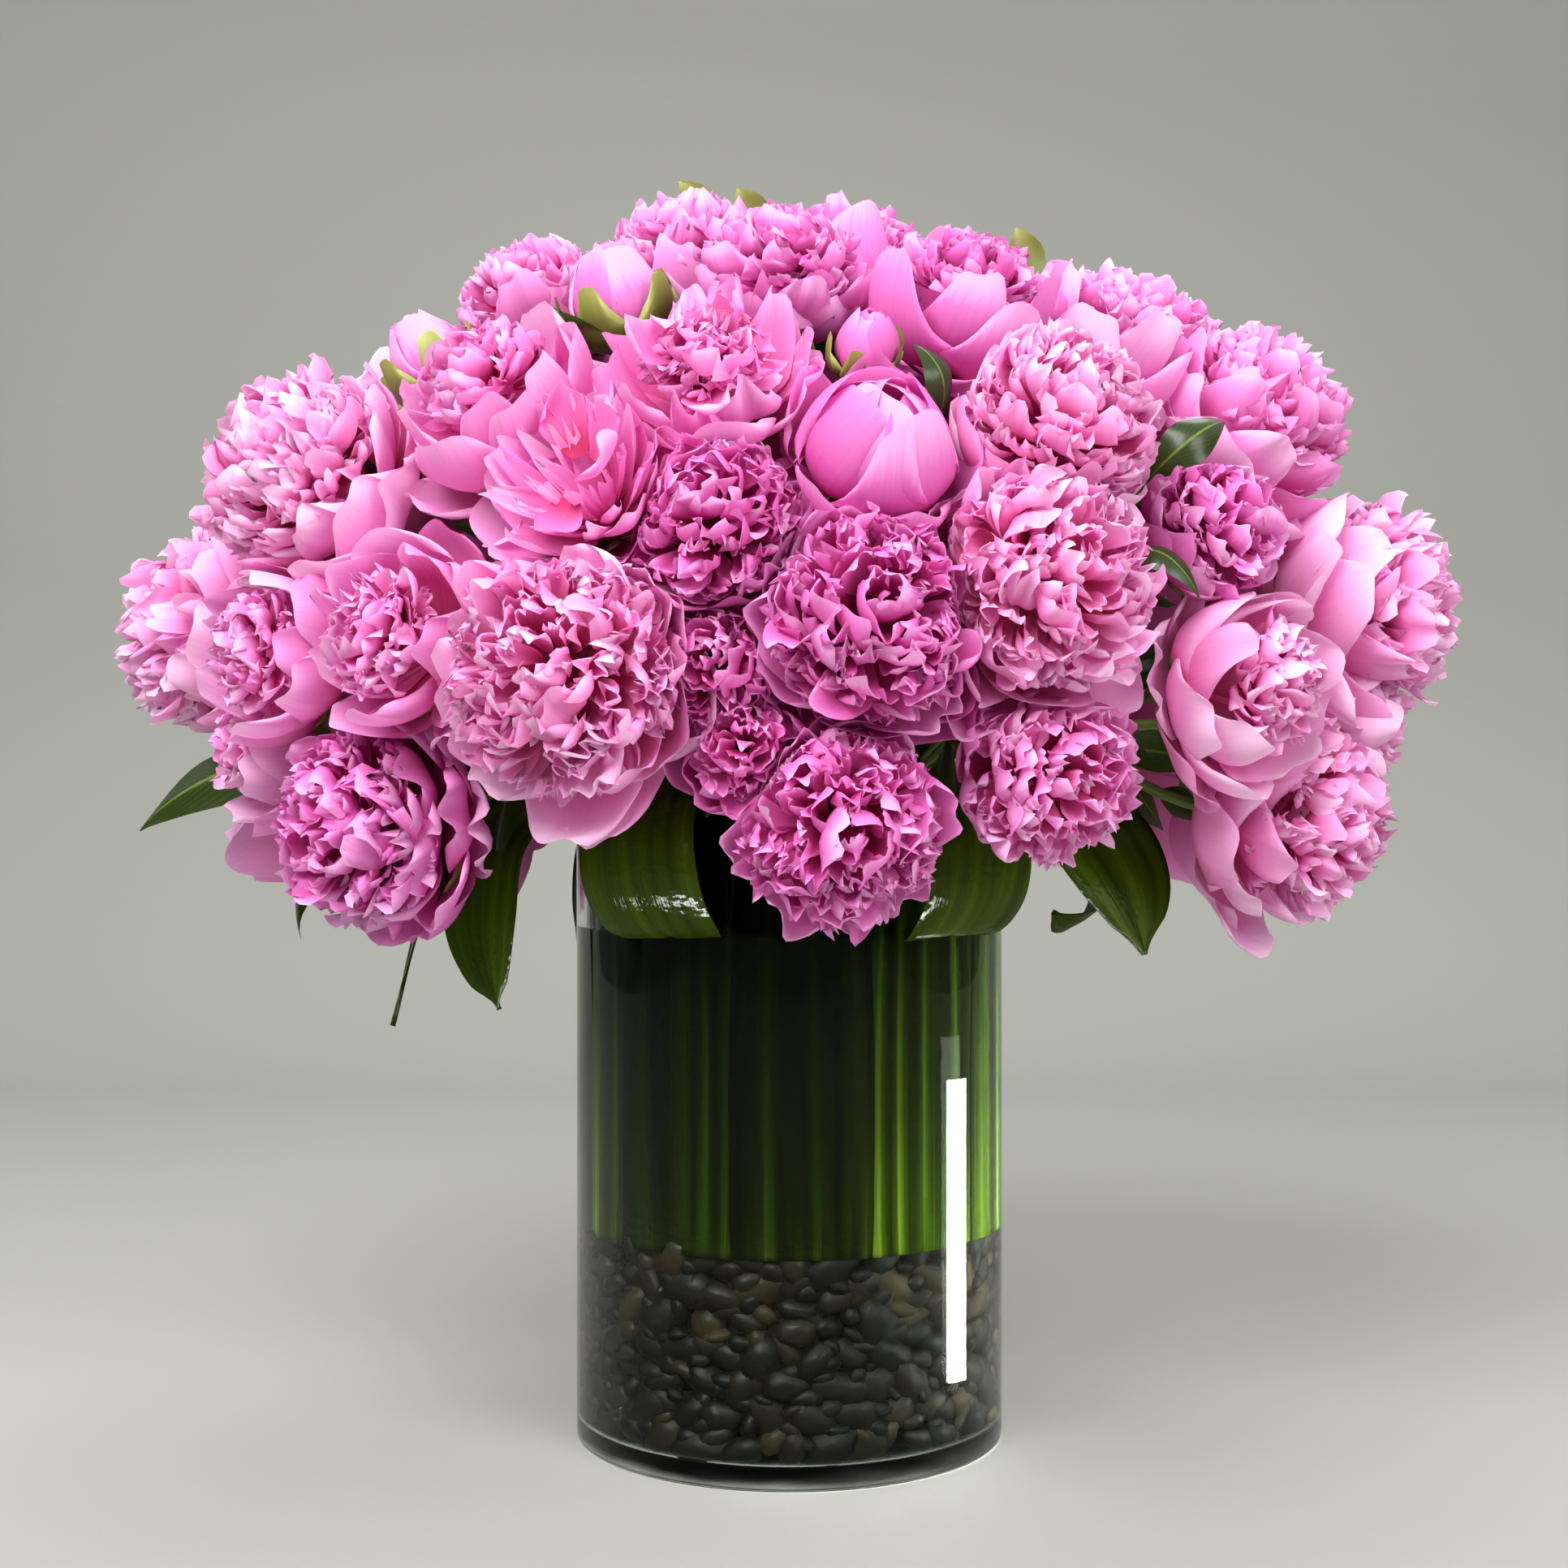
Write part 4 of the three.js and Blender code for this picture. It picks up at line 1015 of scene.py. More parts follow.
# 0 along the stem, then up to 1 over its last fifth
widening = np.maximum(np.linspace(-4, 1, STEM_RINGS), 0) ** 2
for h in heads:
    path, azimuth = stem_path(h)
    curve = smooth_path(path, STEM_RINGS)
    stem_curves[h["name"], h["seed"]] = curve
    widest = CUP_WIDENING if h["form"] != "leaf" else 0
    sideways = np.array([math.cos(azimuth), math.sin(azimuth), 0])
    stem_parts.append(tube(curve, STEM_RADIUS * (1 + widest * widening), STEM_SIDES, sideways))
for k in range(BUNCH_STEMS):
    azimuth = k * 2 * math.pi / BUNCH_STEMS
    low = around_axis(BUNCH_FOOT_RADIUS, azimuth + BUNCH_TWIST, PEBBLE_TOP + SEAT_GAP)
    high = around_axis(BUNCH_TOP_RADIUS, azimuth, NECK_HEIGHT)
    radii = np.full(BUNCH_RINGS, STEM_RADIUS * BUNCH_THICKNESS)
    stem_parts.append(tube(np.linspace(low, high, BUNCH_RINGS), radii, BUNCH_SIDES,
                           np.array([1.0, 0, 0])))
print(len(stem_parts), "stems")

# %% [markdown]
# ## Green peony stem
# A peony's stem is smooth, with a thin wax that gives it a soft shine, and its green turns brown in
# patches. The patches could be painted on, but the stems hardly show, so a noise in the object's
# own coordinates is enough.

# %% Stem finish
PATCH_SIZE = 40

stem_skin, tree, shader = new_material("green peony stem", Roughness=0.42, IOR=1.45)
place = add_node(tree, "ShaderNodeTexCoord")
patch = add_node(tree, "ShaderNodeTexNoise", {"Scale": 1 / (PATCH_SIZE * MM)},
                 {"Vector": place.outputs["Object"]})
colour = add_node(tree, "ShaderNodeValToRGB",
                  {"stops": [(0.3, "#33450f"), (0.6, "#5b7424"), (0.8, "#6d5a2c")]}, {"Fac": patch})
tree.links.new(colour.outputs["Color"], shader.inputs["Base Color"])
stems = add_mesh("peony_stems", *gathered(stem_parts), stem_skin)
in_place(stems, "stem", "stems")
print("patches of", PATCH_SIZE, "mm")

# %% [markdown]
# ## Foliage
# A peony's leaves are lance shaped, dark above and folded a little along the rib. A few stand out
# between the flowers, and each stem carries some more that fill the shade behind the petals. A
# picture of a leaf on a flat card would look flat from the side, so each blade is a grid on a rib
# curve, bent down towards both edges.

# %% Leaf blades
def blade(rib, across, half, columns, rng, droop=0.3):
    """A leaf on a rib curve (n, 3). Its outline is the half width times a sine along the rib. It
    falls away from the rib by droop times the 1.5 power of the place across, and its edges wave."""
    t = np.linspace(-1, 1, columns)[None, :, None]
    s = np.linspace(0, 1, len(rib))[:, None, None]
    along = unit(np.gradient(rib, axis=0))
    square = unit(np.cross(along, across))[:, None]
    width = half * np.sin(math.pi * np.clip(s, 0.02, 0.985) ** 0.85)
    wave = 0.1 * np.sin(9 * s + 3 * t + rng.uniform(0, 6)) * t ** 2
    return rib[:, None] + across * width * t + square * width * (wave - droop * np.abs(t) ** 1.5)


def bent_rib(a, b, c, count):
    """A leaf's rib: the quadratic curve from a to c that is drawn towards b."""
    u = np.linspace(0, 1, count)[:, None]
    return (1 - u) ** 2 * a + 2 * u * (1 - u) * b + u ** 2 * c


def leaf_uv(rows, columns):
    """Across and along, each from 0 to 1, for one grid."""
    along, across = np.meshgrid(
        np.linspace(0, 1, rows), np.linspace(0, 1, columns), indexing="ij")
    return np.stack([across, along], -1).reshape(-1, 2)


print("a leaf of 3 by 3 points has places", leaf_uv(3, 3).tolist())

# %% Leaves between the flowers and on the stems
BLADE_GRID = (15, 9)
TWIG_GRID = (9, 5)
LEAF_HALF_WIDTH = 0.42
# root, bend and tip of a rib: how far towards the tip and how high, in parts of the leaf's reach
LEAF_ROOT = (-0.45, -0.95)
LEAF_BEND = (-0.6, 0.6)
LEAF_TIP = (1.05, 0.3)
OUTWARD_TIPS = {"leaf_5": (0.95, 1.75)}
TWIG_LENGTH = (42, 66)
TWIG_HALF_WIDTH = 0.2
TWIG_SAG = 6
TWIG_PLACES = (0.45, 0.62, 0.8)
TWIG_SCATTER = 0.06


def foliage_sheet(h):
    """The leaf of a leaf head: its rib rises between the flowers and bends over to the tip. The one
    at the lower left grows straight out of the dome."""
    rng = np.random.default_rng(h["seed"])
    towards = unit(h["tip"][0] * h["side"] + h["tip"][1] * h["over"])
    across = np.cross(h["face"], towards)
    at = lambda along, high: h["centre"] + h["reach"] * (along * towards + high * h["face"])
    tip = at(*OUTWARD_TIPS.get(h["name"], LEAF_TIP))
    rib = bent_rib(at(*LEAF_ROOT), at(*LEAF_BEND), tip, BLADE_GRID[0])
    return pressed(h, blade(rib, across, h["reach"] * LEAF_HALF_WIDTH, BLADE_GRID[1], rng))


def twig_sheet(curve, place, rng):
    """A leaf that grows from a place between 0 and 1 on a stem's curve, sideways and outwards."""
    k = int(place * (len(curve) - 2))
    root, along = curve[k], unit(curve[k + 1] - curve[k])
    side = unit(np.cross(along, rng.normal(0, 1, 3)))
    length = rng.uniform(*TWIG_LENGTH)
    middle = root + length * 0.5 * unit(0.8 * along + 0.7 * side)
    tip = root + length * unit(0.75 * along + 0.8 * side) - [0, 0, TWIG_SAG]
    across = unit(np.cross(along, side))
    rib = bent_rib(root, middle, tip, TWIG_GRID[0])
    return blade(rib, across, length * TWIG_HALF_WIDTH, TWIG_GRID[1], rng)


rng = np.random.default_rng(7)
leaf_parts = [sheet_part(foliage_sheet(h)) for h in leaves]
leaf_places = [leaf_uv(*BLADE_GRID)] * len(leaves)
for h in flowers:
    curve = stem_curves[h["name"], h["seed"]]
    for place in TWIG_PLACES:
        place = place + rng.uniform(-TWIG_SCATTER, TWIG_SCATTER)
        leaf_parts.append(sheet_part(twig_sheet(curve, place, rng)))
        leaf_places.append(leaf_uv(*TWIG_GRID))
print(len(leaf_parts), "foliage leaves")

# %% [markdown]
# ## Glossy peony leaf
# The upper side of a peony leaf has a thin wax that shines softly, a pale rib and pale side veins
# that leave it at a slant, about 7 mm apart on a leaf of 70 mm. A noise texture can't draw such
# order, so the lines are worked out from the leaf's own across and along.

# %% Leaf finish
LEAF_LENGTH = 70
SIDE_VEIN_SPACING = 7.33
SIDE_VEIN_SLANT = 1.1
# In widths of the leaf, the rib line is full up to the first place off the middle and gone at the
# second.
RIB_LINE = (0.012, 0.045)
VEIN_STRENGTH = 0.12

leaf_skin, tree, shader = new_material(
    "glossy peony leaf", Roughness=0.36, IOR=1.45, Coat_Weight=0.2, Coat_Roughness=0.2)
strip = add_node(tree, "ShaderNodeUVMap", {"uv_map": "strip"})
split = add_node(tree, "ShaderNodeSeparateXYZ", links={"Vector": strip})
off_rib = add_node(tree, "ShaderNodeMath", {"operation": "SUBTRACT", 1: 0.5},
                   {0: split.outputs["X"]})
off_rib = add_node(tree, "ShaderNodeMath", {"operation": "ABSOLUTE"}, {0: off_rib})
slant = add_node(tree, "ShaderNodeMath", {"operation": "MULTIPLY_ADD", 1: -SIDE_VEIN_SLANT},
                 {0: off_rib, 2: split.outputs["Y"]})
turns = round(2 * math.pi * LEAF_LENGTH / SIDE_VEIN_SPACING)
side_veins = add_node(tree, "ShaderNodeMath", {"operation": "MULTIPLY", 1: turns}, {0: slant})
side_veins = add_node(tree, "ShaderNodeMath", {"operation": "SINE"}, {0: side_veins})
rib_line = add_node(
    tree, "ShaderNodeMapRange",
    {"From Min": RIB_LINE[0], "From Max": RIB_LINE[1], "To Min": 1.0, "To Max": 0.0},
    {"Value": off_rib})
vein = add_node(tree, "ShaderNodeMath", {"operation": "MULTIPLY_ADD", 1: VEIN_STRENGTH},
                {0: side_veins, 2: rib_line})
colour = add_node(tree, "ShaderNodeValToRGB",
                  {"stops": [(0.0, "#1f3205"), (0.12, "#2a4109"), (1.0, "#6a8430")]}, {"Fac": vein})
tree.links.new(colour.outputs["Color"], shader.inputs["Base Color"])
let_light_through(tree, shader, share=0.18, settings={"Color": linear("#5c7a14")})

foliage = add_mesh("peony_foliage", *gathered(leaf_parts), leaf_skin)
set_uv(foliage, np.concatenate(leaf_places))
in_place(foliage, "leaf", "stems")
print("side veins every", SIDE_VEIN_SPACING, "mm")

# %% [markdown]
# ## Sepals
# Green sepals hold each flower from below. They are short on an open flower and reach halfway up a
# bud, where they are what tells a bud from a fruit. They are small stiff petals, so the same
# function draws them. Three tips stand up behind the top of the dome and are drawn as blades.

# %% Sepals
SEPAL_GRID = (9, 7)
SEPAL_COUNT = 5
SEPAL_SPREAD = 1.2
SEPAL_SETBACK = 0.02
# how far out the bend and the tip are, the tip's height and the half width
SEPAL_SHAPES = {
    "bomb": (0.62, 0.72, -0.5, 0.27), "cup": (0.62, 0.86, -0.42, 0.27),
    "open": (0.62, 0.66, -0.4, 0.27), "bud": (1.15, 0.88, 0.3, 0.54),
}
# foot, bend and tip of the three that stand up behind the top of the dome
STANDING_SEPALS = [
    ((-48, 18, 690), (-50, 18, 738), (-66, 18, 741)),
    ((-16, 22, 688), (-21, 20, 733), (-31, 18, 737)),
    ((141, 0, 664), (142, 0, 698), (134, 0, 709)),
]
STANDING_HALF_WIDTH = 11

sepal_parts, sepal_places = [], []
for h in flowers:
    rng = np.random.default_rng(h["seed"] + 500)
    foot = FOOT_DEPTH[h["form"]]
    belly, reach_out, height, breadth = SEPAL_SHAPES[h["form"]]
    layer = whorl(rng, SEPAL_COUNT, draw(h["seed"], 2) * 6.3 + 0.3, (0.04, foot),
                  (belly, foot - 0.06), (reach_out, height), breadth, cup=0.8, ruffle=0.02,
                  notch=0.0, lobes=1, jitter=0.08, rounding=0.6, grid=SEPAL_GRID)
    local, along, across = petal_sheets(layer, rng)
    sheets = pressed(h, placed(h, facing_out(local), SEPAL_SPREAD))
    sheets = sheets - SEPAL_SETBACK * h["reach"] * h["face"]
    sepal_parts.append((sheets.reshape(-1, 3), [grid_faces(SEPAL_COUNT, *SEPAL_GRID)]))
    sepal_places.append(np.stack([across / 2 + 0.5, along], -1).reshape(-1, 2))
rng = np.random.default_rng(77)
for foot, bend, tip in np.array(STANDING_SEPALS, float):
    across = unit(np.cross([0, 1, 0], tip - foot))
    rib = bent_rib(foot, bend, tip, SEPAL_GRID[0])
    sepal_parts.append(sheet_part(blade(rib, across, STANDING_HALF_WIDTH, SEPAL_GRID[1], rng)))
    sepal_places.append(leaf_uv(*SEPAL_GRID))
print(len(flowers) * SEPAL_COUNT + len(STANDING_SEPALS), "sepals")

# %% [markdown]
# ## Waxy sepal
# A sepal is thick and waxy, so it shines softly, and it turns from leaf green at its foot to olive
# at its tip. One flat green would look like plastic. A gradient along the piece's own map follows
# every sepal, whichever way it turns.

# %% Sepal finish
sepal_skin, tree, shader = new_material("waxy sepal", Roughness=0.4, IOR=1.45)
strip = add_node(tree, "ShaderNodeUVMap", {"uv_map": "strip"})
split = add_node(tree, "ShaderNodeSeparateXYZ", links={"Vector": strip})
colour = add_node(tree, "ShaderNodeValToRGB",
                  {"stops": [(0.0, "#4a5e18"), (0.7, "#6b6c2d"), (1.0, "#99a04e")]},
                  {"Fac": split.outputs["Y"]})
tree.links.new(colour.outputs["Color"], shader.inputs["Base Color"])
sepals = add_mesh("peony_sepals", *gathered(sepal_parts), sepal_skin)
set_uv(sepals, np.concatenate(sepal_places))
in_place(sepals, "stem", "stems")
print(len(tree.nodes), "nodes make the", sepal_skin.name)

# %% [markdown]
# ## Strap leaves
# Ten aspidistra leaves line the glass with their tips folded over the rim. A flat strip could be
# bent by modifiers, but its place on the glass would be hard to hold. So each leaf is a ribbon:
# stations give the distance from the vase's axis, the height and the half width, a smooth curve
# joins them, and every cross-section follows the round of the vase.

# %% Collar
LOOP_PATH = [(137, 380, 30), (158, 370, 34), (172, 348, 36), (170, 320, 36), (154, 301, 33),
             (137, 300, 22), (129, 312, 8)]
# degrees that the tip turns aside, radians that it twists, and the stations outside the glass
COLLAR = {
    "tucked": (0, 0, [(136, 378, 22), (141, 356, 24), (139, 332, 18), (131, 314, 7)]),
    "looped": (-4, 0, LOOP_PATH),
    "frontLoop": (9, 0, LOOP_PATH),
    "looseLoop": (6, -0.5, [(138, 381, 26), (168, 377, 30), (200, 362, 32), (222, 334, 32),
                            (220, 306, 30), (202, 294, 22), (186, 300, 8)]),
    "arched": (-8, -1, [(137, 381, 27), (158, 374, 33), (184, 354, 36), (205, 322, 26),
                        (214, 286, 4)]),
    "hanging": (8, 0.9, [(137, 380, 25), (160, 372, 26), (184, 346, 26), (192, 308, 25),
                         (190, 278, 16), (184, 256, 3)]),
    "trailing": (2, 0.6, [(138, 380, 22), (170, 372, 20), (210, 340, 17), (234, 292, 11),
                          (250, 232, 2)]),
}
COLLAR_ORDER = [
    "tucked", "looped", "arched", "looseLoop", "looped", "looped", "hanging", "trailing", "hanging",
    "frontLoop",
]
STRAP_LEAVES = len(COLLAR_ORDER)
print(STRAP_LEAVES, "strap leaves in", len(COLLAR), "shapes")

# %% Strap leaf shape
GLASS_WALL = 5
STRAP_GRID = (84, 13)
STRAP_THICKNESS = 0.9
FIRST_LEAF_AZIMUTH = 3.2
OFF_GLASS = 1.5
OVERLAP_STEP = 0.9
FOOT_TUCK = 6.3
NARROWEST = 1.5
TIP_TAPER = 0.1
EDGE_WAVE = 2.2
# radians of that wave along the leaf, and from its middle to its edge
WAVE_ALONG, WAVE_ACROSS = 9, 2.5
RIB_GROOVE = 1.6
GROOVE_WIDTH = 0.12


def strap_stations(number):
    """Stations of a leaf, (distance from the axis, height, half width, part of the way outside)."""
    outside = COLLAR[COLLAR_ORDER[number]][2]
    wall = VASE_RADIUS - GLASS_WALL - OFF_GLASS - (number % 2) * OVERLAP_STEP
    pitch = math.pi / STRAP_LEAVES * wall
    inside = [
        (wall, PEBBLE_TOP - FOOT_TUCK, pitch + 1), (wall, PEBBLE_TOP + 24, pitch + 2),
        (wall, PEBBLE_TOP + 120, pitch + 2), (wall, VASE_HEIGHT - 14, pitch - 4),
        (wall + 0.4, VASE_HEIGHT + 4, pitch - 8), (wall + 7.5, VASE_HEIGHT + 8, pitch - 9),
    ]
    stations = np.array(inside + outside, float)
    out = np.maximum(np.arange(len(stations)) - len(inside) + 1, 0) / len(outside)
    return np.column_stack([stations, out])


def strap_sheet(number):
    """One strap leaf as a grid: rows along the smooth path, columns along the round of the vase.
    Outside the glass it turns and twists, its edges wave, and a groove runs along its rib."""
    rows, columns = STRAP_GRID
    curve = smooth_path(strap_stations(number), rows)
    radius, height, half, beyond = (curve[:, k, None] for k in range(4))
    t = np.linspace(-1, 1, columns)[None, :]
    rng = np.random.default_rng(300 + number)
    wave = np.sin(np.linspace(0, WAVE_ALONG, rows)[:, None] + WAVE_ACROSS * t + rng.uniform(0, 6))
    turn, twist, _ = COLLAR[COLLAR_ORDER[number]]
    azimuth = math.radians(FIRST_LEAF_AZIMUTH + number * 360 / STRAP_LEAVES)
    azimuth = azimuth + math.radians(turn) * beyond
    turned = twist * beyond
    half = np.maximum(half, NARROWEST) * np.clip((1 - beyond) / TIP_TAPER, 0.02, 1) ** 0.6
    slope = unit(np.gradient(curve[:, :2], axis=0))
    under = around_axis(slope[:, 1:2], azimuth, -slope[:, :1])
    lift = beyond * (EDGE_WAVE * wave * t ** 2 - RIB_GROOVE * np.exp(-(t / GROOVE_WIDTH) ** 2))
    sheet = around_axis(radius, azimuth + half * t * np.cos(turned) / radius, height)
    return sheet + under * (half * t * np.sin(turned) - lift)[..., None]


strap_sheets = [strap_sheet(number) for number in range(STRAP_LEAVES)]
print("collar reaches", round(float(np.abs(strap_sheets).max(axis=(0, 1, 2))[0])), "mm out")

# %% [markdown]
# ## Wet aspidistra leaf
# The leaf is a deep green with parallel veins that run its whole length. Outside the glass it is
# wet: a film of water gives it a clear gloss, and its ripples break each reflection into specks.
# Behind the glass it stands in water, where that gloss is gone. There its colour is darkened as
# painted shade for the shade of the flowers, most towards the rim, and each leaf gets a painted
# brightness of its own. Outside the glass the colour is painted twice as bright, as painted light.
# So one material tells the two apart by the distance from the axis, and the film is a coat that
# begins where the leaf leaves the glass.

# %% Film, veins and ripples of a strap leaf
# painted light and shade: how bright each leaf is painted behind the glass, as the flowers shade
# some more than others and the light is stronger at the right
PAINTED_LEAF_LIGHT = [0.25, 1.1, 1.5, 1.1, 1.0, 0.9, 1.1, 1.0, 1.1, 0.35]
# distances from the axis at which a leaf is still inside the glass, and fully outside
INSIDE_AT, OUTSIDE_AT = VASE_RADIUS - 4, VASE_RADIUS + 5
FILM_WEIGHT = 0.3
# painted light: outside the glass the leaf's colour is made twice as bright
COLLAR_PAINTED_LIGHT = 2.0
# Each leaf reads its own part of the pattern, a few widths further on than the last.
STRIP_STRETCH = 4
STRIP_OFFSET = 3.7
# A blade is 74 mm wide. Its real veins are 1 mm apart, too fine to show, so 46 veins stand 1.6 mm
# apart. There are 6 bands of 12 mm, and ripples of 6 mm.
VEIN_SCALE = (46, 0.6, 1)
BAND_SCALE = (6, 0.35, 1)
RIPPLE_SCALE = (12, 16, 1)

strap_skin, tree, shader = new_material(
    "wet aspidistra leaf", Roughness=0.4, IOR=1.45, Specular_IOR_Level=0.0, Coat_Roughness=0.12,
    Coat_IOR=1.33)
place = add_node(tree, "ShaderNodeTexCoord").outputs["Object"]
level = add_node(tree, "ShaderNodeVectorMath", {"operation": "MULTIPLY", 1: (1, 1, 0)}, {0: place})
off_axis = add_node(tree, "ShaderNodeVectorMath", {"operation": "LENGTH"}, {0: level})
outside = add_node(tree, "ShaderNodeMapRange",
                   {"From Min": INSIDE_AT * MM, "From Max": OUTSIDE_AT * MM},
                   {"Value": off_axis.outputs["Value"]})
film = add_node(tree, "ShaderNodeMath", {"operation": "MULTIPLY", 1: FILM_WEIGHT}, {0: outside})
tree.links.new(film.outputs[0], shader.inputs["Coat Weight"])
strip = add_node(tree, "ShaderNodeUVMap", {"uv_map": "strip"})
fine = add_node(tree, "ShaderNodeMapping", {"Scale": VEIN_SCALE}, {"Vector": strip})
veins = add_node(tree, "ShaderNodeTexNoise", {"Scale": 1.0, "Detail": 3.0}, {"Vector": fine})
broad = add_node(tree, "ShaderNodeMapping", {"Scale": BAND_SCALE}, {"Vector": strip})
bands = add_node(tree, "ShaderNodeTexNoise", {"Scale": 1.0, "Detail": 1.0}, {"Vector": broad})
uneven = add_node(tree, "ShaderNodeMapping", {"Scale": RIPPLE_SCALE}, {"Vector": strip})
ripples = add_node(tree, "ShaderNodeTexNoise", {"Scale": 1.0, "Detail": 1.0}, {"Vector": uneven})
print("wet from", OUTSIDE_AT, "mm off the axis")

# %% Colour and relief of a strap leaf
BAND_SHARE = 0.8
VEIN_SHARE = 0.3
RIPPLE_SHARE = 2.0
RIPPLE_DEPTH = 0.8
banded = add_node(tree, "ShaderNodeMath", {"operation": "MULTIPLY", 1: BAND_SHARE}, {0: bands})
mixed = add_node(tree, "ShaderNodeMath", {"operation": "MULTIPLY_ADD", 1: VEIN_SHARE},
                 {0: veins, 2: banded})
striped = add_node(
    tree, "ShaderNodeValToRGB",
    {"stops": [(0.42, "#141c00"), (0.53, "#2a3a04"), (0.62, "#46600a"), (0.74, "#8a9c30")]},
    {"Fac": mixed})
even = add_node(tree, "ShaderNodeValToRGB",
                {"stops": [(0.4, "#1d2903"), (0.6, "#2a3905"), (0.8, "#3f520c")]}, {"Fac": mixed})
green = add_node(tree, "ShaderNodeMix", {"data_type": "RGBA"},
                 {"Factor": outside, 6: striped, 7: even}).outputs[2]
height = add_node(tree, "ShaderNodeSeparateXYZ", links={"Vector": place}).outputs["Z"]
# painted shade: behind the glass the leaf is painted darker towards the rim, where the flowers
# shade it
painted_shade_under_rim = add_node(
    tree, "ShaderNodeValToRGB",
    {"stops": [(0.12, "#c4c4c4"), (0.2, "#828282"), (0.3, "#595959"), (0.36, "#606060")]},
    {"Fac": height})
# painted shade: the darkening under the rim times each leaf's painted brightness, read from its
# tone
tone = add_node(tree, "ShaderNodeVertexColor", {"layer_name": "tone"})
in_shade = add_node(tree, "ShaderNodeMath", {"operation": "MULTIPLY"}, {0: painted_shade_under_rim, 1: tone})
# painted light and shade: painted shade behind the glass, painted light on the collar
shade = add_node(tree, "ShaderNodeMix", {3: COLLAR_PAINTED_LIGHT}, {"Factor": outside, 2: in_shade})
colour = add_node(tree, "ShaderNodeVectorMath", {"operation": "SCALE"}, {0: green, "Scale": shade})
tree.links.new(colour.outputs["Vector"], shader.inputs["Base Color"])

relief = add_node(tree, "ShaderNodeMath", {"operation": "MULTIPLY_ADD", 1: RIPPLE_SHARE},
                  {0: ripples, 2: veins})
ridges = add_node(tree, "ShaderNodeBump", {"Strength": 0.5, "Distance": RIPPLE_DEPTH * MM},
                  {"Height": relief})
for socket in ("Normal", "Coat Normal"):
    tree.links.new(ridges.outputs["Normal"], shader.inputs[socket])
let_light_through(tree, shader, share=0.12, links={"Color": colour})
print(len(tree.nodes), "nodes make the", strap_skin.name)

# %% Strap leaves
strap_pieces = []
for number, sheet in enumerate(strap_sheets):
    points, faces = sheet_part(sheet)
    piece = add_mesh(f"lining_leaf_{number + 1:02d}", points, faces, strap_skin)
    set_uv(piece, leaf_uv(*STRAP_GRID) * [1, STRIP_STRETCH] + [number * STRIP_OFFSET, 0])
    # the leaf's painted brightness behind the glass, kept in its tone
    set_tone(piece, np.full(len(points), PAINTED_LEAF_LIGHT[number]))
    thickness = piece.modifiers.new("leaf thickness", "SOLIDIFY")
    thickness.thickness = STRAP_THICKNESS * MM
    thickness.offset = 0
    in_place(piece, "leaf", f"strap_leaf_{number + 1:02d}")
    strap_pieces.append(piece)
reflected_only_by("glint light", strap_pieces)
print(len(strap_pieces), "strap leaves")

# %% [markdown]
# ## Vase
# The vase is a drawn cylinder on a thick base, its rim melted round in a flame. It is a profile
# turned about the axis, which gives both walls and the base in one closed surface. Drawn glass is
# perfectly smooth, with an IOR of 1.5. It bends the light that passes through it, which a renderer
# can't aim at a lamp, so the glass is kept out of shadow rays and the leaves inside stay lit. Its
# reflections are tinted darker than real ones, because the grey backdrop would veil the leaves.

# %% Turned shapes
VASE_SIDES = 128


def revolved(profile, sides=VASE_SIDES):
    """A profile (n, 2) of distance from the axis and height, turned round it and closed by a point
    on the axis at each end."""
    profile = np.asarray(profile, float)
    azimuth = np.arange(sides) * 2 * math.pi / sides
    rings = around_axis(profile[:, :1], azimuth[None, :], profile[:, 1:])
    return closed_rings(rings, [0, 0, profile[0, 1]], [0, 0, profile[-1, 1]])


def corner(centre, radius, first, last, count=7):
    """An arc of a profile, from one angle to another in degrees."""
    angle = np.radians(np.linspace(first, last, count))
    return np.column_stack([
        centre[0] + radius * np.cos(angle), centre[1] + radius * np.sin(angle)])


print("a corner has", len(corner((0, 0), 1, 0, 90)), "points")

# %% Vase
GLASS_BASE = 12
FOOT_ROUND = 3
INSIDE_ROUND = 7
RIM_ROUND = GLASS_WALL / 2
inner = VASE_RADIUS - GLASS_WALL
# Each straight run has a station 1 mm from its corners, so that smooth shading stays in the corner.
vase_profile = np.concatenate([
    [(40, 0), (VASE_RADIUS - 20, 0)],
    corner((VASE_RADIUS - FOOT_ROUND, FOOT_ROUND), FOOT_ROUND, -90, 0),
    [(VASE_RADIUS, FOOT_ROUND + 1), (VASE_RADIUS, VASE_HEIGHT - RIM_ROUND - 1)],
    corner((VASE_RADIUS - RIM_ROUND, VASE_HEIGHT - RIM_ROUND), RIM_ROUND, 0, 180),
    [(inner, VASE_HEIGHT - RIM_ROUND - 1), (inner, GLASS_BASE + INSIDE_ROUND + 1)],
    corner((inner - INSIDE_ROUND, GLASS_BASE + INSIDE_ROUND), INSIDE_ROUND, 0, -90),
    [(inner - INSIDE_ROUND - 1, GLASS_BASE), (20, GLASS_BASE)],
])
glass, _, _ = new_material(
    "clear drawn glass", Base_Color=linear("#eef6f0"), Roughness=0.0, IOR=1.5,
    Specular_Tint=linear("#585858"), Transmission_Weight=1.0)
vase = add_mesh("glass_vase", *revolved(vase_profile), glass)
vase.visible_shadow = False
in_place(vase, "glass", "vase")
reflected_only_by("window light", [vase])
print("vase", 2 * VASE_RADIUS, "mm across and", VASE_HEIGHT, "mm high")

# %% [markdown]
# ## Water
# Water fills the vase to 300 mm. Where it wets the glass there is no air, so its surface reaches
# 0.05 mm into the wall: two surfaces in one place would flicker, and a gap would look silvery. Its
# reflections are tinted nearly black, because the glass in front of it already has the bright one.

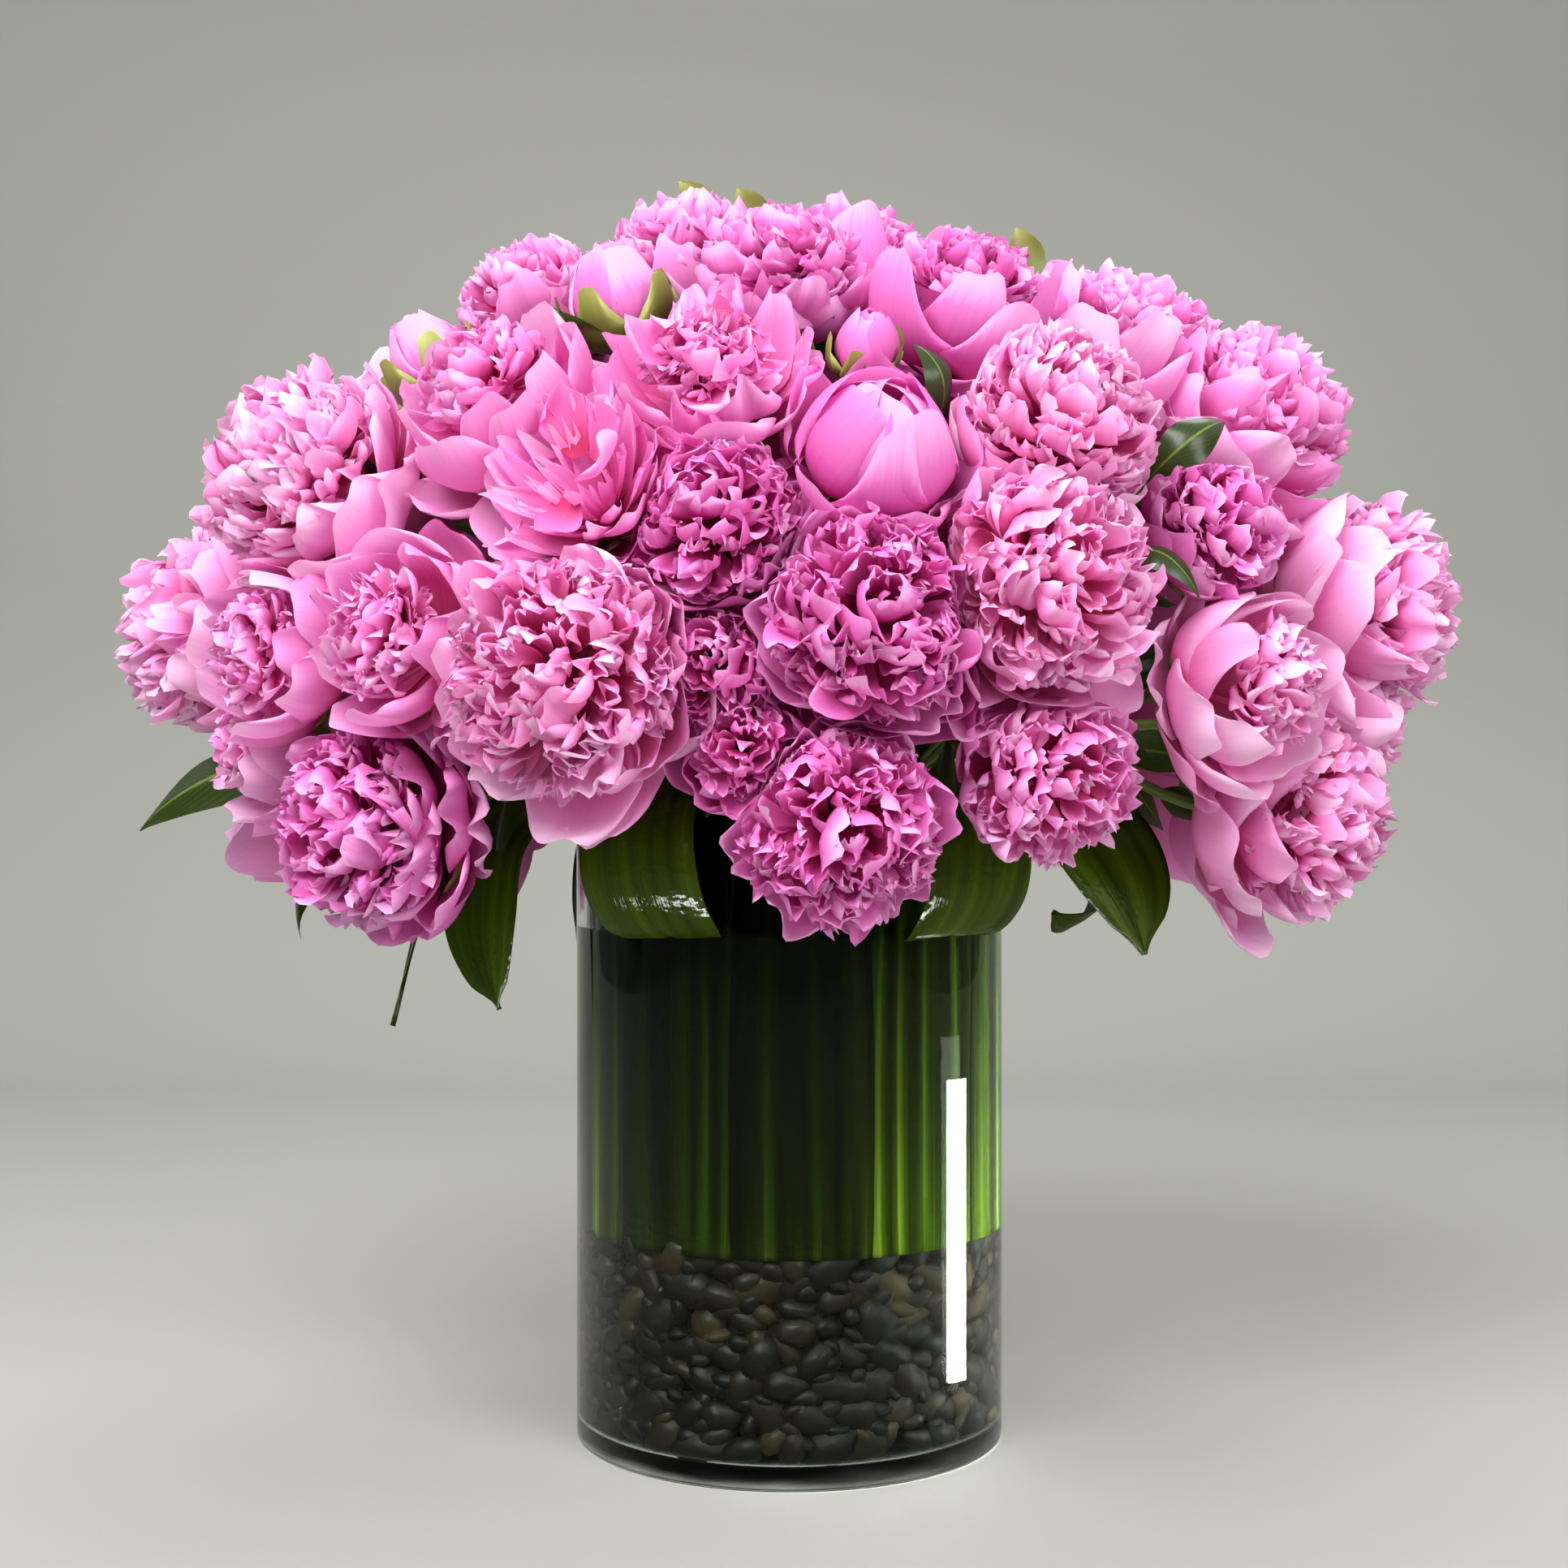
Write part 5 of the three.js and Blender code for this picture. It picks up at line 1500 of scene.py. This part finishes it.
# %% Water
WATER_LEVEL = 300
WETTING = 0.05
water_skin, _, _ = new_material(
    "clear water", Base_Color=linear("#f2f8f2"), Roughness=0.0, IOR=1.333,
    Specular_Tint=linear("#101010"), Transmission_Weight=1.0)
wet = inner + WETTING
water_profile = np.concatenate([
    [(20, GLASS_BASE - WETTING), (wet - INSIDE_ROUND - 1, GLASS_BASE - WETTING)],
    corner((wet - INSIDE_ROUND, GLASS_BASE - WETTING + INSIDE_ROUND), INSIDE_ROUND, -90, 0),
    [(wet, GLASS_BASE + INSIDE_ROUND + 1), (wet, WATER_LEVEL - 2), (wet - 0.5, WATER_LEVEL - 0.5),
     (wet - 2, WATER_LEVEL), (60, WATER_LEVEL)],
])
water = add_mesh("clear_water", *revolved(water_profile), water_skin)
water.visible_shadow = False
in_place(water, "water", "water")
print("water up to", WATER_LEVEL, "mm")

# %% [markdown]
# ## River pebbles
# The pebbles are small dark stones, rounded by a river and flat like beans. Dropping them with a
# physics run would fill the vase, but the stones have to lie where the solid bed has them. So each
# is a ball squeezed to three half axes and bent a little off round, large ones in rows and small
# ones in the hollows between. Only those at the glass can be seen, and a dark heap stands behind.

# %% Pebble shapes
PEBBLE_RINGS = 5
PEBBLE_SEGMENTS = 8
PEBBLE_COLUMNS = 30
PEBBLE_ROWS = 7
PEBBLE_EDGE = 9
PEBBLE_HALF_AXES = np.array([14.5, 9.5, 8])
PEBBLE_BEND = 0.12
LARGE_STONES = (0.8, 1.6)
SMALL_STONES = (0.4, 0.8)
SMALL_SETBACK = 1.5
TURN_SCATTER = 0.04
HEIGHT_SCATTER = 3


def pebble_places(rng):
    """Azimuth, height, distance from the axis and size of the stones: large ones at the places
    where the solid bed has them, small ones in the hollows between three large ones."""
    pitch = (PEBBLE_TOP - GLASS_BASE - 2 * PEBBLE_EDGE) / (PEBBLE_ROWS - 1)
    number, column = np.meshgrid(
        np.arange(3 * PEBBLE_ROWS - 2), np.arange(PEBBLE_COLUMNS), indexing="ij")
    vary = lambda low, high: rng.uniform(low, high, number.shape)
    azimuth = (column - number / 2) * 2 * math.pi / PEBBLE_COLUMNS
    height = GLASS_BASE + PEBBLE_EDGE + number * pitch / 3
    large = number % 3 == 0
    size = np.where(large, vary(*LARGE_STONES), vary(*SMALL_STONES))
    radius = inner - 1 - PEBBLE_HALF_AXES[2] * size - np.where(large, vary(0, 2), SMALL_SETBACK)
    azimuth = azimuth + vary(-TURN_SCATTER, TURN_SCATTER)
    height = height + vary(-HEIGHT_SCATTER, HEIGHT_SCATTER)
    return azimuth.ravel(), height.ravel(), radius.ravel(), size.ravel()


def pebble_sheets(rng, azimuth, height, radius, size):
    """Each stone is a ball squeezed to three half axes, the shortest towards the glass and the
    longest at a random slant, and bent a little off round by a sine of its own coordinates."""
    count = len(azimuth)
    polar = np.linspace(0.0, math.pi, PEBBLE_RINGS + 2)[1:-1][None, :, None]
    around = np.linspace(0, 2 * math.pi, PEBBLE_SEGMENTS, endpoint=False)[None, None, :]
    ball = np.stack(np.broadcast_arrays(
        np.sin(polar) * np.cos(around), np.sin(polar) * np.sin(around), np.cos(polar)), -1)
    phase = rng.uniform(0, 6, (count, 1, 1, 3))
    ball = ball + PEBBLE_BEND * np.sin(3 * ball[..., [1, 2, 0]] + phase)
    ends = np.broadcast_to(np.array([[0, 0, 1.0], [0, 0, -1.0]]), (count, 2, 3))
    axes = PEBBLE_HALF_AXES * rng.uniform(0.8, 1.2, (count, 3)) * size[:, None]
    flat = np.concatenate([ball.reshape(count, -1, 3), ends], 1) * axes[:, None]
    slant = rng.normal(0, 0.5, count)[:, None]
    tangent = np.stack([np.cos(azimuth), np.sin(azimuth), 0 * azimuth], -1)
    long_way = np.cos(slant) * tangent + np.sin(slant) * UP
    short_way = np.cos(slant) * UP - np.sin(slant) * tangent
    ways = np.stack([long_way, short_way, np.cross(long_way, short_way)], -1)
    return np.einsum("nij,nkj->nki", ways, flat) + around_axis(radius, azimuth, height)[:, None]


def pebble_faces(count):
    """The faces of all stones, turned over because the rings of a stone run downwards."""
    start = np.arange(count)[:, None, None] * (PEBBLE_RINGS * PEBBLE_SEGMENTS + 2)
    return [(f[None, :, ::-1] + start).reshape(-1, f.shape[1])
            for f in ring_faces(PEBBLE_RINGS, PEBBLE_SEGMENTS)]


print("a stone has", sum(len(f) for f in pebble_faces(1)), "faces")

# %% Bed of pebbles
CORE_RADIUS = 106
CORE_SIDES = 40
OFF_WALL = 0.8
ABOVE_BED = 2
rng = np.random.default_rng(11)
stones = pebble_sheets(rng, *pebble_places(rng))
flat_radius = np.linalg.norm(stones[..., :2], axis=-1, keepdims=True)
stones[..., :2] *= np.minimum(1, (inner - OFF_WALL) / np.maximum(flat_radius, 1))
stones[..., 2] = np.clip(stones[..., 2], GLASS_BASE + SEAT_GAP, PEBBLE_TOP + ABOVE_BED)
core = revolved([
    (60, GLASS_BASE + 4), (CORE_RADIUS - 2, GLASS_BASE + 4), (CORE_RADIUS, GLASS_BASE + 8),
    (CORE_RADIUS, PEBBLE_TOP - 14), (CORE_RADIUS - 4, PEBBLE_TOP - 10), (50, PEBBLE_TOP - 10),
], CORE_SIDES)
own = np.repeat(rng.uniform(0, 1, len(stones)), stones.shape[1])
print(len(stones), "pebbles")

# %% [markdown]
# ## Wet river pebble
# Wet stone is nearly black with browns and greys in it, each stone a little different, and speckled
# by its grains. A picture would have to be wrapped round every stone. Instead a number for each
# stone picks its place on a ramp of colours, and a noise in the object's own coordinates adds the
# speckle. Under water its gloss is faint.

# %% Pebble finish
# Real grains are less than 1 mm, too fine to show, so they are drawn larger.
SPECKLE_SIZE = 2.5
GRAIN_SHIFT = (0.3, -0.15)
pebble_skin, tree, shader = new_material(
    "wet river pebble", Roughness=0.35, IOR=1.5, Specular_IOR_Level=0.15)
tone = add_node(tree, "ShaderNodeVertexColor", {"layer_name": "tone"})
parts = add_node(tree, "ShaderNodeSeparateColor", links={"Color": tone})
place = add_node(tree, "ShaderNodeTexCoord")
speckle = add_node(tree, "ShaderNodeTexNoise", {"Scale": 1 / (SPECKLE_SIZE * MM), "Detail": 3.0},
                   {"Vector": place.outputs["Object"]})
grain = add_node(tree, "ShaderNodeMath",
                 {"operation": "MULTIPLY_ADD", 1: GRAIN_SHIFT[0], 2: GRAIN_SHIFT[1]}, {0: speckle})
shade = add_node(tree, "ShaderNodeMath", {"operation": "ADD", "use_clamp": True},
                 {0: grain, 1: parts.outputs["Red"]})
colour = add_node(tree, "ShaderNodeValToRGB",
                  {"stops": [(0.0, "#020100"), (0.4, "#070502"), (0.75, "#120d05"),
                             (1.0, "#261d0e")]}, {"Fac": shade})
tree.links.new(colour.outputs["Color"], shader.inputs["Base Color"])
points, faces = gathered([(stones.reshape(-1, 3), pebble_faces(len(stones))), core])
pebbles = add_mesh("river_pebbles", points, faces, pebble_skin)
set_tone(pebbles, np.concatenate([own, np.zeros(len(core[0]))]))
in_place(pebbles, "pebble", "pebbles")
print("speckle of", SPECKLE_SIZE, "mm")
